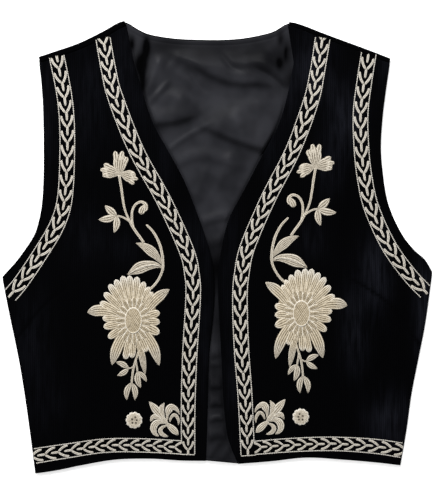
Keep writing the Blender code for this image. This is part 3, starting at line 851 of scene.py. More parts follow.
def make_front(side):
    """A wall on the patch of the front, and its painted sheen: the share of light that its pile catches.
    """
    plan = front_plan(side)
    if side == "right":
        plan = plan[:, ::-1]
    x, y = plan[..., 0], plan[..., 1]
    thickness, pulled = front_thickness(side, x, y)
    thickness = np.maximum(thickness - pulled, LEAST_WALL)
    thickness[[0, -1]] = 0
    thickness[:, [0, -1]] = 0
    middle = np.dstack([plan, front_underside(side, x, y) + VELVET / 2])
    front = wall("velvet_front_" + side, middle, thickness)

    def brushed_sheen(x, y):
        """The painted sheen of the patches, less a thin line of painted shade along the dart's seam."""
        from_dart = nearest(smooth(DARTS[side]["crest"], 6), x, y)[0]
        seam = 1 - DART_SHADE["darker"] * np.exp(-((from_dart / DART_SHADE["reach"]) ** 2))
        return bells(BRUSHED_SHEEN[side], "lighter", x, y) * seam

    paint_points(front, "brushed_sheen", brushed_sheen)
    return front


fronts = {side: make_front(side) for side in EDGES}

# %% [markdown]
# ## The back
#
# The back lies flat on the table. At each shoulder it turns over the edge in a half circle and
# meets the front in a seam a few millimetres below the fold, so a narrow strip of it shows.
# The grid has extra rows for that turn, and the cells that they would add above the neck are
# left out.

# %% Back
TURN_ROWS = 12
BACK_COLUMNS = {"shoulder": 18, "neck": 36}
STRIP_SHARES, STRIP_ROUND = (0.5, 0.8, 0.93, 1.0), 4 * MM
BACK_STEP = 8.0 * MM
BACK_INSET = {"side": 0, "armhole": 0, "hem": 0, "neck": 0, "shoulder": FOLD_RADIUS, "reach": 1}
FINE_COLUMNS = 7
# The neck's own line starts this many points in from the shoulders, whose corners it shares.
NECK_TRIM = 4


def back_edges(inset):
    """The edges of the back, or of its lining, each moved in by its inset.

    The inset of the side seam goes over to that of the armhole within the inset's reach.
    """
    outers, shoulders = [], []
    for side, turn in (("left", -1), ("right", 1)):
        edges = EDGES[side]
        line = np.vstack([edges["side"][:-1], edges["armhole"]])
        along = distances(line)
        from_side = along - distances(edges["side"])[-1]
        near_side = 1 - np.clip(from_side / inset["reach"], 0, 1)
        moved = inset["armhole"] + (inset["side"] - inset["armhole"]) * near_side
        outers.append(line + left_of(line, along) * (turn * moved)[:, None])
        shoulders.append(edges["shoulder"] - edges["out"] * inset["shoulder"])
    hem = np.vstack([EDGES["left"]["hem"], EDGES["right"]["hem"][::-1]]) + (0, inset["hem"])
    neck = NECK_LINE[NECK_TRIM:-NECK_TRIM] - (0, inset["neck"])
    return outers, hem, shoulders, neck


def back_panel(inset, v, columns):
    """The back's plan, and the numbers of the columns where its neck starts and ends."""
    outers, hem, shoulders, neck = back_edges(inset)
    top = np.vstack([shoulders[0], neck, shoulders[1][::-1]])
    for outer, end in zip(outers, (0, -1)):
        outer[-1] = top[end]
    starts = distances(shoulders[0])[-1] / distances(top)[-1]
    ends = 1 - distances(shoulders[1])[-1] / distances(top)[-1]
    fine = EDGE_STEPS[:FINE_COLUMNS] / distances(top)[-1]
    left = np.linspace(fine[-1], starts, columns["shoulder"])[1:]
    between = np.linspace(starts, ends, columns["neck"])[1:]
    right = np.linspace(ends, 1 - fine[-1], columns["shoulder"])[1:]
    u = np.concatenate([fine, left, between, right, 1 - fine[-2::-1]])
    first, last = rows_between(*outers, v)
    plan = patch(first, last, hem, top, np.broadcast_to(u, (len(v), len(u))), v)
    neck_first = len(fine) + columns["shoulder"] - 2
    return plan, neck_first, neck_first + columns["neck"] - 1


def edge_distance(lines, x, y):
    """How far each point is from the nearest of the lines."""
    return np.min([nearest(coarse(line), x, y)[0] for line in lines], axis=0)


def make_back():
    """A flat wall, then rows round a half circle at each shoulder, and the strip up to the seam."""
    v = spread(EDGES["left"]["shoulder"][0, 1] - EDGES["left"]["side"][0, 1], BACK_STEP)
    plan, neck_first, neck_last = back_panel(BACK_INSET, v, BACK_COLUMNS)
    x, y = plan[..., 0], plan[..., 1]
    hem = back_edges(BACK_INSET)[1]
    open_edges = [EDGES[side][name] for side in EDGES for name in ("side", "armhole")]
    from_edge = edge_distance([*open_edges, hem, NECK_LINE], x, y)
    thickness = np.maximum(rounded(from_edge, VELVET), LEAST_WALL)
    thickness[0] = 0
    flat = np.dstack([plan, np.full(x.shape, VELVET / 2)])
    columns = np.arange(x.shape[1])
    halves = {"left": columns <= neck_first, "right": columns >= neck_last}
    ring = FOLD_RADIUS - VELVET / 2
    end_thickness = thickness[-1].copy()
    rows, row_thickness = [], []
    for angle in np.linspace(-np.pi / 2, np.pi / 2, TURN_ROWS)[1:]:
        row = flat[-1].copy()
        for side, half in halves.items():
            row[half, :2] += EDGES[side]["out"] * ring * np.cos(angle)
            row[half, 2] = FOLD_RADIUS + ring * np.sin(angle)
        rows.append(row)
        row_thickness.append(end_thickness)
    for share in STRIP_SHARES:
        row = rows[TURN_ROWS - 2].copy()
        for side, half in halves.items():
            strip = OUTLINE[side]["seam_drop"] * MM - FOLD_RADIUS - GAP / 2
            row[half, :2] -= EDGES[side]["out"] * strip * share
        rows.append(row)
        row_thickness.append(np.minimum(end_thickness, rounded((1 - share) * STRIP_ROUND, VELVET)))
    middle = np.concatenate([flat, rows])
    thickness = np.concatenate([thickness, row_thickness])
    flat_rows = len(v)
    neck = (columns >= neck_first) & (columns <= neck_last)
    thickness[flat_rows - 1 :, neck] = 0
    thickness[-1] = 0
    thickness[:, [0, -1]] = 0
    keep = np.ones((len(middle) - 1, len(columns) - 1), bool)
    keep[flat_rows - 1 :, neck_first:neck_last] = False
    return wall("velvet_back", middle, thickness, keep)


back = make_back()

# %% [markdown]
# ## The lining
#
# Satin is thin and slippery, so the lining of the back lies creased in the open front. Each
# crease here is listed as a crest with a broad and a steep side. Where a front covers
# the lining, its weight presses the creases flat. Little light reaches the slit between the
# fronts and the hollow beside each of them, so the satin is painted darker there. Where a broad
# fold faces the light, it is painted lighter, which is a negative number in the same table.

# %% Lining
LINING_INSET = {
    "side": 7.0 * MM,
    "armhole": 1.5 * MM,
    "hem": 4.0 * MM,
    "neck": 1.5 * MM,
    "shoulder": 4.5 * MM,
    "reach": 60 * MM,
}
LINING_FOLDS = rows_of(
    "crest height broad steep",
    (
        [(-66, 224), (-46, 213), (-26, 203.5), (-10, 194), (6, 186.5), (25, 182.5), (50, 182), (84, 176)],
        5.0, 24, 5.5,
    ),
    ([(-98, 134), (-70, 138), (-51, 139.8), (-33, 144.6), (-14, 154)], 5.2, 20, 5.5),
    ([(-66, 98), (-54, 106), (-33, 121), (0, 139)], 1.2, 3.0, 2.6),
    ([(-28, 140), (-12, 134), (6, 126), (22, 119), (50, 110), (76, 104)], 6.0, 25, 5.5),
    ([(-48, 186), (-54, 181), (-64, 170), (-82, 150)], 1.3, 3.0, 3.6),
    ([(-75, 240), (-77, 222), (-80, 200), (-86, 166)], -3.0, 7.0, 4.5),
    ([(-62, 216), (-65, 200), (-70, 184), (-82, 160)], 2.4, 6.0, 6.0),
    ([(66, 236), (73, 226), (80, 214), (90, 200)], -3.0, 4.5, 5.0),
    ([(58, 224), (66, 214), (75, 202), (84, 186)], -3.2, 4.5, 3.6),
    ([(30, 200), (50, 192), (64, 183), (82, 166)], -3.4, 4.0, 3.0),
    ([(50, 216), (62, 206), (72, 195), (84, 184)], -2.0, 3.4, 3.0),
    ([(-36, 200), (-28, 190), (-20, 178), (-8, 168)], -1.2, 3.0, 3.0),
    ([(36, 208), (54, 200), (68, 190), (86, 172)], 1.4, 6.0, 5.0),
    ([(-8, 222), (7, 209), (16, 198), (34, 192)], -1.8, 3.0, 3.0),
    ([(2, 214), (16, 206), (30, 203), (46, 197)], 0.9, 7.0, 4.0),
    ([(-40, 222), (-43, 210), (-50, 199), (-60, 190)], 1.1, 5.0, 4.0),
    ([(-50, 200), (-42, 190), (-30, 180), (-18, 166)], 1.4, 8.0, 4.4),
    ([(-8, 98), (-12, 82), (-17, 66), (-24, 44)], 1.7, 9.0, 6.0),
    ([(20, 112), (14, 96), (8, 82), (1, 58)], 1.4, 9.0, 6.0),
    ([(-60, 84), (-38, 94), (-20, 100), (4, 96), (40, 82)], 2.0, 9.0, 5.0),
    ([(64, 150), (44, 152), (26, 146), (10, 128)], 1.8, 16.0, 12.0),
    ([(-74, 158), (-58, 165), (-44, 164), (-30, 155)], 1.7, 9.0, 8.0),
    ([(-34, 222), (-6, 217), (16, 214), (54, 222)], 1.2, 7.0, 5.0),
    ([(-36, 14), (-20, 22), (-6, 30), (24, 36)], 2.2, 7.0, 4.6),
    ([(-22, -8), (-8, 2), (2, 6), (18, 8)], 1.6, 7.0, 4.6),
    ([(-26, -121), (-8, -118), (4, -118), (24, -122)], 2.0, 8.0, 4.0),
    ([(-26, -133), (-8, -130), (4, -130), (24, -134)], 1.6, 3.0, 2.6),
    ([(-26, -152), (-8, -153), (4, -153), (24, -151)], 2.6, 8.0, 3.2),
    ([(-28, -177), (-8, -173), (4, -172.5), (26, -178)], 3.2, 8.0, 3.0),
    ([(-28, -196), (-8, -190.5), (4, -188.5), (26, -194)], 2.4, 3.0, 3.0),
    ([(-30, -218), (-10, -210), (8, -207), (34, -214)], 2.4, 7.0, 4.4),
    ([(-14, -238), (-6, -226), (2, -216), (8, -208)], 1.6, 4.0, 3.6),
    ([(4, -240), (8, -230), (14, -222), (20, -216)], 1.6, 3.6, 3.6),
)
LINING_COLUMNS, LINING_STEP = {"shoulder": 12, "neck": 112}, 2.3 * MM
LINING_ROUND, LEAST_LINING = 0.8 * MM, 0.05 * MM
LINING_LOOSE = 2.2 * MM
PRESSED = {"from": -0.5 * MM, "over": 5.0 * MM}
NECK_SEAM = {"inset": 6.2, "width": 0.8, "depth": 0.5}
NECK_SLOPE = {"from": 6 * MM, "over": 26.0 * MM}
OPEN_SATIN = 0.7
LINING_SHADOWS = rows_of(
    "at reach darker",
    ((-2, -24), (40, 32), 0.68),
    ((-2, -76), (40, 26), 0.36),
    ((4, -150), (40, 50), 0.46),
    ((6, -226), (40, 30), 0.30),
    ((-78, 222), (4.0, 12), 0.70),
    ((-84, 200), (8.0, 14), 0.80),
    ((-82, 178), (5.0, 13), 0.70),
    ((-94, 224), (3.6, 9), 0.65),
    ((70, 230), (4.0, 9), 0.50),
    ((77, 214), (3.6, 11), 0.56),
    ((69, 202), (4.0, 7), 0.46),
    ((82, 186), (5.0, 11), 0.55),
    ((62, 206), (18, 14), 0.26),
    ((-4, 214), (80, 18), 0.47),
    ((36, 194), (26, 10), 0.18),
    ((-62, 222), (16, 12), 0.26),
    ((74, 180), (12, 14), 0.34),
    ((-66, 128), (18, 7), 0.22),
    ((30, 104), (34, 8), 0.14),
    ((-64, 190), (5, 16), -0.22),
    ((-48, 161), (13, 7), -0.26),
    ((34, 161), (20, 6), -0.26),
    ((19, 144), (6, 13), -0.26),
    ((-4, 62), (8, 18), -0.18),
    ((12, 24), (7, 14), -0.14),
)


def inside_opening(x, y):
    """How far a point is inside the open front, negative where a front covers it."""
    left = where_y(EDGES["left"]["front_edge"], y.ravel())[:, 0].reshape(y.shape)
    right = where_y(EDGES["right"]["front_edge"], y.ravel())[:, 0].reshape(y.shape)
    return np.minimum(x - left, right - x)


def lining_underside(x, y):
    """How high the underside lies: the creases, pressed flat under the fronts and at the neck."""
    creases = np.maximum(LINING_LOOSE + fold_height(LINING_FOLDS, x, y), 0)
    from_neck = nearest(coarse(NECK_LINE), x, y)[0]
    beside_fronts = ease((inside_opening(x, y) - PRESSED["from"]) / PRESSED["over"])
    below_neck = ease((from_neck - NECK_SLOPE["from"]) / NECK_SLOPE["over"])
    return LINING_Z + creases * beside_fronts * below_neck


def make_lining():
    """A thin wall on the creased form, with a stitched line along the neck."""
    v = spread(EDGES["left"]["shoulder"][0, 1] - EDGES["left"]["side"][0, 1], LINING_STEP)
    plan = back_panel(LINING_INSET, v, LINING_COLUMNS)[0]
    x, y = plan[..., 0], plan[..., 1]
    outers, hem, shoulders, neck = back_edges(LINING_INSET)
    from_edge = edge_distance([*outers, hem, *shoulders, neck], x, y)
    full = np.maximum(rounded(from_edge, SATIN, LINING_ROUND), LEAST_LINING)
    from_seam = nearest(coarse(NECK_LINE), x, y)[0] / MM - NECK_SEAM["inset"]
    stitched = NECK_SEAM["depth"] * MM * np.exp(-((from_seam / NECK_SEAM["width"]) ** 2))
    thickness = np.maximum(full - stitched, LEAST_LINING)
    thickness[[0, -1]] = 0
    thickness[:, [0, -1]] = 0
    middle = np.dstack([plan, lining_underside(x, y) + SATIN / 2])
    cloth = wall("satin_lining", middle, thickness)

    def open_to_light(x, y):
        """The light on open satin, less all shadows."""
        return np.clip(OPEN_SATIN - bells(LINING_SHADOWS, "darker", x, y), 0, 1)

    paint_points(cloth, "open_to_light", open_to_light)
    return cloth


lining = make_lining()

# %% [markdown]
# ## Stitching
#
# A machine embroiders each shape as rows of chain stitch over a padding, so a petal is a small
# raised pad with a ridge for every row of thread. The outline is a paler row, and the valleys
# between the rows are painted dark, as shade. Every pad here is the same recipe: a curved middle
# line, a half width along it and a number of rows. Each one closes underneath, where it touches
# the velvet.

# %% Collecting pads
# valley and crest_tone set painted shade: a row's tone follows its ridge, darker down its flanks and
# nearly black in the valley.
PAD = {"ridge": 0.28, "valley": 0.06, "sunk": 0.10, "ends": 0.6, "dome": 0.7, "crest_tone": 0.45}
TONES = {"worn": 0.52, "cream": 0.66, "light": 0.78, "pale": 0.92}
GREYISH = {"band": 0.6, "vine": 0.4, "corner": 0.35}


def evenly(value):
    """The same value at every point."""
    return lambda x, y: np.full(x.shape, value)


class Stitching:
    """Collects pads, and makes one mesh of them in the end. greyish is a formula of (x, y)."""

    def __init__(self, name, side, greyish):
        self.name, self.side, self.greyish = name, side, greyish
        self.points, self.faces, self.tones, self.threads = [], [], [], []
        self.count = 0

    def add(self, plan, height, tone, thread, mirrored=False):
        """Adds a closed pad as a grid of loops. A mirrored one is turned round, so that it faces out."""
        grids = [plan, height, tone, thread]
        if mirrored:
            grids = [grid[:, ::-1] for grid in grids]
        plan, height, tone, thread = grids
        rows, columns = height.shape
        index = self.count + np.arange(rows * columns).reshape(rows, columns)
        after = np.roll(index, -1, axis=1)
        quads = np.stack([index[:-1], after[:-1], after[1:], index[1:]], axis=-1).reshape(-1, 4)
        self.faces += quads.tolist()
        self.faces.append(index[0, ::-1].tolist())
        self.faces.append(index[-1].tolist())
        self.points.append(np.dstack([plan, height]).reshape(-1, 3))
        self.tones.append(tone.ravel())
        self.threads.append(thread.reshape(-1, 2))
        self.count += rows * columns

    def finish(self, node):
        """Lays all pads on the front, and stores where each point is on its thread and its colour."""
        points = np.concatenate(self.points)
        tones, threads = np.concatenate(self.tones), np.concatenate(self.threads)
        points[:, 2] += front_top(self.side, points[:, 0], points[:, 1])
        thing = mesh_object(self.name, points, self.faces)
        mesh = thing.data
        mesh.attributes.new("tone", "FLOAT", "POINT").data.foreach_set("value", tones)
        paint_points(thing, "greyish", self.greyish)
        corners = np.empty(len(mesh.loops), int)
        mesh.loops.foreach_get("vertex_index", corners)
        mesh.uv_layers.new(name="thread").uv.foreach_set("vector", threads[corners].ravel())
        mesh.materials.append(MATERIALS["thread"])
        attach(thing, "root")
        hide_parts(node)
        print(self.name, len(mesh.polygons), "faces")
        return thing


# %% One pad


def pad_strip(line, half, rows, high, tone="cream", edge="pale"):
    """A pad along a line in millimetres: plan, height, tone and thread coordinates as grids.

    Across the pad, with v from -1 to 1, the height is a low dome, sqrt(1 - v^2) ** 0.7, and one
    ridge for each row of thread, 0.5 - 0.5 cos(pi * rows * (v + 1)).
    """
    v = np.linspace(-1, 1, 6 * rows + 1)
    run = np.gradient(line, axis=0)
    run /= np.linalg.norm(run, axis=1)[:, None]
    normal = np.stack([-run[:, 1], run[:, 0]], axis=1)
    plan = line[:, None] + normal[:, None] * half[:, None, None] * v[None, ::-1, None]
    crest = 0.5 - 0.5 * np.cos(np.pi * rows * (v + 1))
    full = (half / half.max())[:, None] ** PAD["ends"]
    dome = np.sqrt(np.clip(1 - v**2, 0, 1)) ** PAD["dome"]
    height = high * dome * full + PAD["ridge"] * crest * full - PAD["sunk"]
    outline = np.abs(v) > 1 - 2 / rows if rows > 2 else np.ones(v.shape, bool)
    top = np.where(outline, TONES[edge], TONES[tone])
    # Painted shade: the tone follows the ridges, so it darkens down each row to the valley.
    across = PAD["valley"] + (top - PAD["valley"]) * crest ** PAD["crest_tone"]
    tones = np.broadcast_to(across, height.shape)
    along = distances(line)[:, None] + 0 * v
    thread = np.dstack([along, np.broadcast_to(v * rows / 2, along.shape)])
    return plan, height, tones, thread


LEAST_HALF = {"stem": 0.12, "leaf": 0.15}


def curve(points, step):
    """A smooth line in millimetres with even steps."""
    line = smooth(points, 24) / MM
    count = max(int(distances(line)[-1] / step), 4)
    return at_share(line, np.linspace(0, 1, count + 1))


def bulge(values, count):
    """A smooth run of half widths through a few values, evenly spaced."""
    t = np.linspace(0, len(values) - 1, count)
    pairs = np.stack([np.arange(len(values)), values], axis=1)
    line = smooth(pairs, 24) / MM
    return np.maximum(np.interp(t, line[:, 0], line[:, 1]), LEAST_HALF["stem"])


# %% [markdown]
# ## The bands
#
# A band runs down each front edge, round each armhole and along the hem. It is one motif over
# and over: a fork of two arms and a stem, whose stem lies in the arms of the next fork. A row of
# chain stitch, one small link after another, closes the band on both sides. A texture could
# show that too, but real links catch the light and throw a small shadow. There are nearly two
# thousand of them, so each has only 32 faces.

# %% Where the bands run
BANDS = {
    "left": {
        "front": [
            (-125.6, 229.4), (-119.6, 196.0), (-111.8, 164.2), (-88.9, 106.3), (-58.2, 50.2),
            (-33.7, -4.0), (-27.5, -31.0), (-26.3, -56.0), (-30.0, -119.0), (-31.8, -175.0),
            (-31.8, -228.6),
        ],
        "armhole": [
            (-176.6, 209.5), (-169.0, 172.0), (-165.5, 142.0), (-164.8, 106.3), (-167.2, 56.0),
            (-175.7, 25.0), (-193.5, -6.0), (-215.0, -38.0), (-229.5, -55.5),
        ],
        "hem": [(-39.6, -221.0), (-81.5, -218.8), (-123.0, -219.0), (-166.0, -225.0), (-202.5, -230.8)],
    },
    "right": {
        "front": [
            (116.4, 229.5), (110.0, 190.0), (103.0, 159.1), (83.6, 106.3), (56.7, 53.7), (34.0, 1.0),
            (27.5, -28.0), (25.2, -56.0), (26.8, -110.4), (30.9, -166.5), (33.9, -230.4),
        ],
        "armhole": [
            (167.2, 213.0), (162.5, 183.6), (158.1, 148.5), (158.6, 113.4), (162.1, 78.3),
            (170.0, 43.0), (189.0, 1.0), (212.0, -31.0), (231.5, -51.5),
        ],
        "hem": [(41.8, -221.5), (85.2, -218.2), (129.1, -217.1), (173.0, -219.7), (205.0, -224.4)],
    },
}
BAND_SIZE = {"repeat": 16.4, "half_width": 8.1, "least_width": 0.6}
BAND_ENDS = {"before": 0.8, "after": 0.5}
# How far apart the forks are: pairs of a place along the band and the repeat there. They are
# closer near the corner, and smaller with it.
REPEATS = {
    "left": {
        "front": [
            (0, 15.2), (50, 15.6), (70, 17.8), (110, 17.5), (140, 16.1), (340, 15.9), (400, 14.4),
            (478, 12.0),
        ],
        "armhole": [(0, 16.4), (284, 16.4)],
        "hem": [(0, 12.2), (60, 12.7), (100, 13.2), (130, 14.6), (162, 15.8)],
    },
    "right": {
        "front": [
            (0, 16.0), (30, 15.0), (60, 16.4), (90, 17.4), (120, 16.0), (320, 16.0), (400, 14.6),
            (477, 12.8),
        ],
        "armhole": [(0, 16.4), (286, 16.4)],
        "hem": [(0, 12.2), (60, 12.9), (100, 13.2), (130, 14.6), (162, 15.8)],
    },
}
# Where the first fork of a band would start. What lies before the band's end is cut off.
FIRST_FORK = {
    "left": {"front": -6.0, "armhole": -16.0, "hem": -3.1},
    "right": {"front": -10.5, "armhole": -11.5, "hem": -3.1},
}
FORK_ARM = [(-0.2, 6.2), (3.0, 5.9), (6.0, 5.0), (8.6, 3.7), (11.0, 2.1), (13.2, 0.6)]
FORK_ARM_HALF = [1.3, 1.4, 1.5, 1.5, 1.5, 1.2]
FORK_STEM = [(12.4, 0.0), (15.6, 0.0), (19.4, 0.0), (22.8, 0.0)]
FORK_STEM_HALF = [1.3, 1.5, 1.4, 1.0]
FORK = {"arm_high": 0.55, "stem_high": 0.6, "least_room": 7, "least_shown": 2}
FORK_WOBBLE = {"along": 0.2, "across": 0.15}
# How much of a front's inner row stays open for the hem's band, and the rows that close the corner.
CORNER_OPEN = 14.0
CORNER_ROWS = {"left": [(-40.5, -228.5), (-23.6, -229.2)], "right": [(42.5, -229.4), (25.6, -230.6)]}
SIDE_CLEARANCE = 0.8 * MM
# The tone of a link's rings is painted shade: darker at its foot on the cloth and in the sunk eye of the
# loop.
LINK = {
    "pitch": 2.0,
    "half_length": 1.1,
    "half_width": 0.62,
    "points": 10,
    "rings": rows_of(
        "share height tone",
        (1.0, -0.10, 0.5),
        (0.85, 0.40, 0.9),
        (0.50, 0.55, 1.0),
        (0.16, 0.30, 0.5),
    ),
}


# %% Links and strokes


def rounded_ends(half, length):
    """Half widths that close at both ends: half * sqrt(1 - (1 - distance / half)^2)."""
    s = np.linspace(0, length, len(half))
    end = np.minimum(s, length - s)
    return half * np.sqrt(np.clip(1 - (1 - np.clip(end / half.max(), 0, 1)) ** 2, 0.01, 1))


def stroke(points, halves, rows, high, edge="pale", step=1.0):
    """A pad with round ends, as grids."""
    line = curve(points, step)
    half = bulge(halves, len(line))
    return pad_strip(line, rounded_ends(half, distances(line)[-1]), rows, high, "cream", edge)


def onto_band(line, plan):
    """Moves a plan of (along, across) in millimetres onto a band's middle line."""
    along, across = plan[..., 0] * MM, plan[..., 1] * MM
    return point_at(line, along) + left_of(line, along) * across[..., None]


def chain_link():
    """One link as a grid: rings that rise from the cloth, and sink again in the eye of the loop. Their
    tone is painted shade, darker where they lie low.
    """
    turns = np.linspace(0, 2 * np.pi, LINK["points"], endpoint=False)
    share, height, tone = (
        np.array([ring[name] for ring in LINK["rings"]])[:, None] + 0 * turns
        for name in ("share", "height", "tone")
    )
    along = share * LINK["half_length"] * np.cos(turns)
    plan = np.dstack([along, share * LINK["half_width"] * np.sin(turns)])
    return plan, height, tone, plan


def kept_inside(side, plan):
    """Moves what would pass the side seam back onto it, where the seam cuts the band off."""
    seam = where_y(EDGES[side]["side"], plan[..., 1].ravel())[:, 0].reshape(plan.shape[:2])
    turn = 1 if side == "left" else -1
    inside = seam + turn * SIDE_CLEARANCE
    past = np.maximum((inside - plan[..., 0]) * turn, 0) * turn
    return plan + np.dstack([past, 0 * past])


def narrowed(side, place, along):
    """The width of a band here, as a share of the full one."""
    places, repeats = np.array(REPEATS[side][place]).T
    least = BAND_SIZE["least_width"]
    return least + (1 - least) * np.interp(along, places, repeats) / BAND_SIZE["repeat"]


# %% Bands


def add_links(band, line, offset_at, open_end=0.0):
    """A row of chain stitch beside a line. It may stop short of the line's end."""
    plan, height, tone, thread = chain_link()
    for link in range(int((distances(line)[-1] / MM - open_end) / LINK["pitch"])):
        along = (link + 0.5) * LINK["pitch"]
        moved = plan + (along, offset_at(along))
        band.add(kept_inside(band.side, onto_band(line, moved)), height * MM, tone, thread)


def fork_places(side, place, length):
    """Where the forks of a band start, and the size of each as a share of the full one."""
    places, repeats = np.array(REPEATS[side][place]).T
    start = FIRST_FORK[side][place]
    while start < length - FORK["least_room"]:
        repeat = np.interp(start, places, repeats)
        yield start, repeat / BAND_SIZE["repeat"]
        start += repeat


def make_band(side, place):
    """Forks along the middle line, each a little off its place, and a row of links on both sides."""
    line = smooth(BANDS[side][place])
    length = distances(line)[-1] / MM
    band = Stitching(f"band_{place}_{side}_stitching", side, evenly(GREYISH["band"]))
    arms = [
        stroke([(s, t * flip) for s, t in FORK_ARM], FORK_ARM_HALF, 2, FORK["arm_high"])
        for flip in (1, -1)
    ]
    stem = stroke(FORK_STEM, FORK_STEM_HALF, 2, FORK["stem_high"])
    wobble = np.random.default_rng(len(place) + 7 * len(side))
    for start, size in fork_places(side, place, length):
        width = narrowed(side, place, start)
        for plan, height, tone, thread in (*arms, stem):
            along = start + wobble.normal(0, FORK_WOBBLE["along"])
            moved = plan * (size, width) + (along, wobble.normal(0, FORK_WOBBLE["across"]))
            if moved[..., 0].max() > FORK["least_shown"]:
                ends = (-BAND_ENDS["before"], length + BAND_ENDS["after"])
                moved[..., 0] = np.clip(moved[..., 0], *ends)
                band.add(kept_inside(side, onto_band(line, moved)), height * MM, tone, thread)
    inner = -1 if side == "left" else 1
    for border in (1, -1):
        open_end = CORNER_OPEN if place == "front" and border == inner else 0.0
        half = border * BAND_SIZE["half_width"]
        add_links(band, line, lambda along: half * narrowed(side, place, along), open_end)
    if place == "front":
        add_links(band, np.array(CORNER_ROWS[side]) * MM, lambda along: 0.0)
    return band.finish(f"band_{place}_{side}")


bands = {side: [make_band(side, place) for place in BANDS[side]] for side in BANDS}

# %% [markdown]
# ## The spray
#
# A large flower hangs from a curved vine, with a trefoil, a sprig and a tendril above it and
# three small buds below. It is drawn once, from the middle of the large flower, and mirrored
# for the right front. Long petals and leaves come first, then a ring of shorter petals over
# them, and the seed head stands highest. Leaflets and petals differ only in how their half
# width grows and closes, so a table row and one formula give each of them.

# %% The vine
SPRAY_AT = {"left": (-92.6, -80.7), "right": (93.3, -73.0)}
STEMS = rows_of(
    "line half",
    (
        [
            (-15.2, 160.0), (-12.8, 146.0), (-11.0, 133.0), (-8.6, 121.0), (-3.6, 109.0), (1.8, 99.5),
            (7.6, 91.5), (12.5, 84.5),
        ],
        [1.6, 1.6, 1.5, 1.4, 1.3, 1.6, 1.7, 1.5],
    ),
    (
        [
            (14.5, 105.3), (21.6, 98.0), (26.8, 89.5), (30.4, 80.5), (32.4, 71.0), (33.2, 61.0),
            (32.4, 54.0), (28.4, 45.0), (23.4, 38.2), (17.6, 33.0),
        ],
        [1.2, 1.5, 1.6, 1.7, 1.7, 1.7, 1.6, 1.5, 1.5, 1.6],
    ),
    (
        [
            (1.0, 101.0), (-0.8, 108.0), (-1.0, 117.5), (0.4, 123.0), (3.3, 127.4), (7.5, 129.8),
            (11.0, 129.6), (14.0, 127.0), (14.4, 123.0), (12.4, 119.6),
        ],
        [1.2, 1.5, 1.5, 1.5, 1.5, 1.5, 1.6, 1.9, 2.4, 2.4],
    ),
    ([(-17.5, 114.8), (-11.3, 113.2), (-7.0, 110.8), (-3.4, 108.2)], [1.2, 1.2, 1.2, 1.2]),
    (
        [(6.3, -34.0), (4.6, -40.0), (2.6, -46.0), (0.6, -54.0), (-0.6, -62.0), (-1.4, -71.0)],
        [1.3, 1.3, 1.4, 1.4, 1.3, 1.3],
    ),
    ([(3.2, -43.5), (4.2, -50.0), (5.3, -57.5)], [1.0, 1.1, 1.2]),
    ([(-6.0, -53.0), (-2.0, -52.6), (0.6, -50.8)], [1.0, 0.9, 0.8]),
)
VINE_LEAVES = rows_of(
    "line half vein",
    (
        [(32.4, 61.5), (28.4, 67.0), (21.5, 74.6), (13.0, 80.8), (3.6, 84.8)],
        [0.8, 3.6, 5.6, 4.0, 0.5], False,
    ),
    ([(33.0, 58.0), (23.0, 60.6), (9.6, 58.2), (-5.9, 50.2)], [0.8, 4.9, 6.4, 0.5], True),
)
# Pointed leaflets, and round lobes and teeth: from the joint to the tip, with the largest width.
LEAFLETS = rows_of(
    "from to width bend",
    ((-17.4, 114.6), (-30.6, 126.2), 8.6, 0.6),
    ((-18.0, 114.2), (-38.0, 110.6), 8.6, 1.2),
    ((-18.0, 115.4), (-20.8, 96.0), 8.0, 1.6),
    ((-4.6, -53.0), (-18.4, -46.0), 6.8, -1.0),
    ((-4.6, -53.2), (-17.2, -61.0), 6.4, 1.0),
    ((5.4, -56.0), (8.8, -74.8), 7.4, -1.8),
    ((5.6, -56.6), (15.2, -68.0), 5.6, 1.2),
    ((-1.6, -69.0), (-6.6, -88.2), 7.0, -2.4),
    ((-1.2, -69.0), (1.9, -88.2), 7.0, 2.2),
)
LOBES = rows_of(
    "from to width bend tip",
    ((-15.4, 158.0), (-13.4, 182.4), 15.4, 0.0, 0.42),
    ((-17.4, 170.0), (-19.4, 186.0), 6.0, 0.2, 0.8),
    ((-13.8, 170.0), (-11.3, 186.0), 6.0, 0.2, 0.8),
    ((-11.6, 168.0), (-6.0, 179.4), 6.0, -0.2, 0.7),
    ((-14.0, 160.6), (-33.6, 165.0), 15.0, 0.0, 0.42),
    ((-22.0, 166.6), (-32.0, 171.6), 6.0, 0.0, 0.7),
    ((-22.0, 165.0), (-36.0, 165.2), 5.4, 0.0, 0.8),
    ((-22.0, 162.4), (-33.4, 158.4), 6.0, 0.0, 0.7),
    ((-14.8, 161.6), (3.0, 156.2), 13.6, 0.0, 0.42),
    ((-7.0, 160.0), (2.8, 160.6), 5.4, 0.4, 0.7),
    ((-7.0, 157.5), (5.8, 154.8), 5.2, 0.2, 0.8),
    ((-7.0, 155.6), (1.8, 149.8), 5.4, -0.2, 0.7),
    ((15.0, 127.5), (8.8, 116.2), 7.6, -1.2, 0.5),
)

# %% The large flower
BLOOM = {"at": (0.6, -0.3), "petal_from": 0.78, "warm_to": 34.0, "grey_over": 12.0}
SEED_HEAD = {"radii": (9.7, 15.2), "ring_width": 1.5}
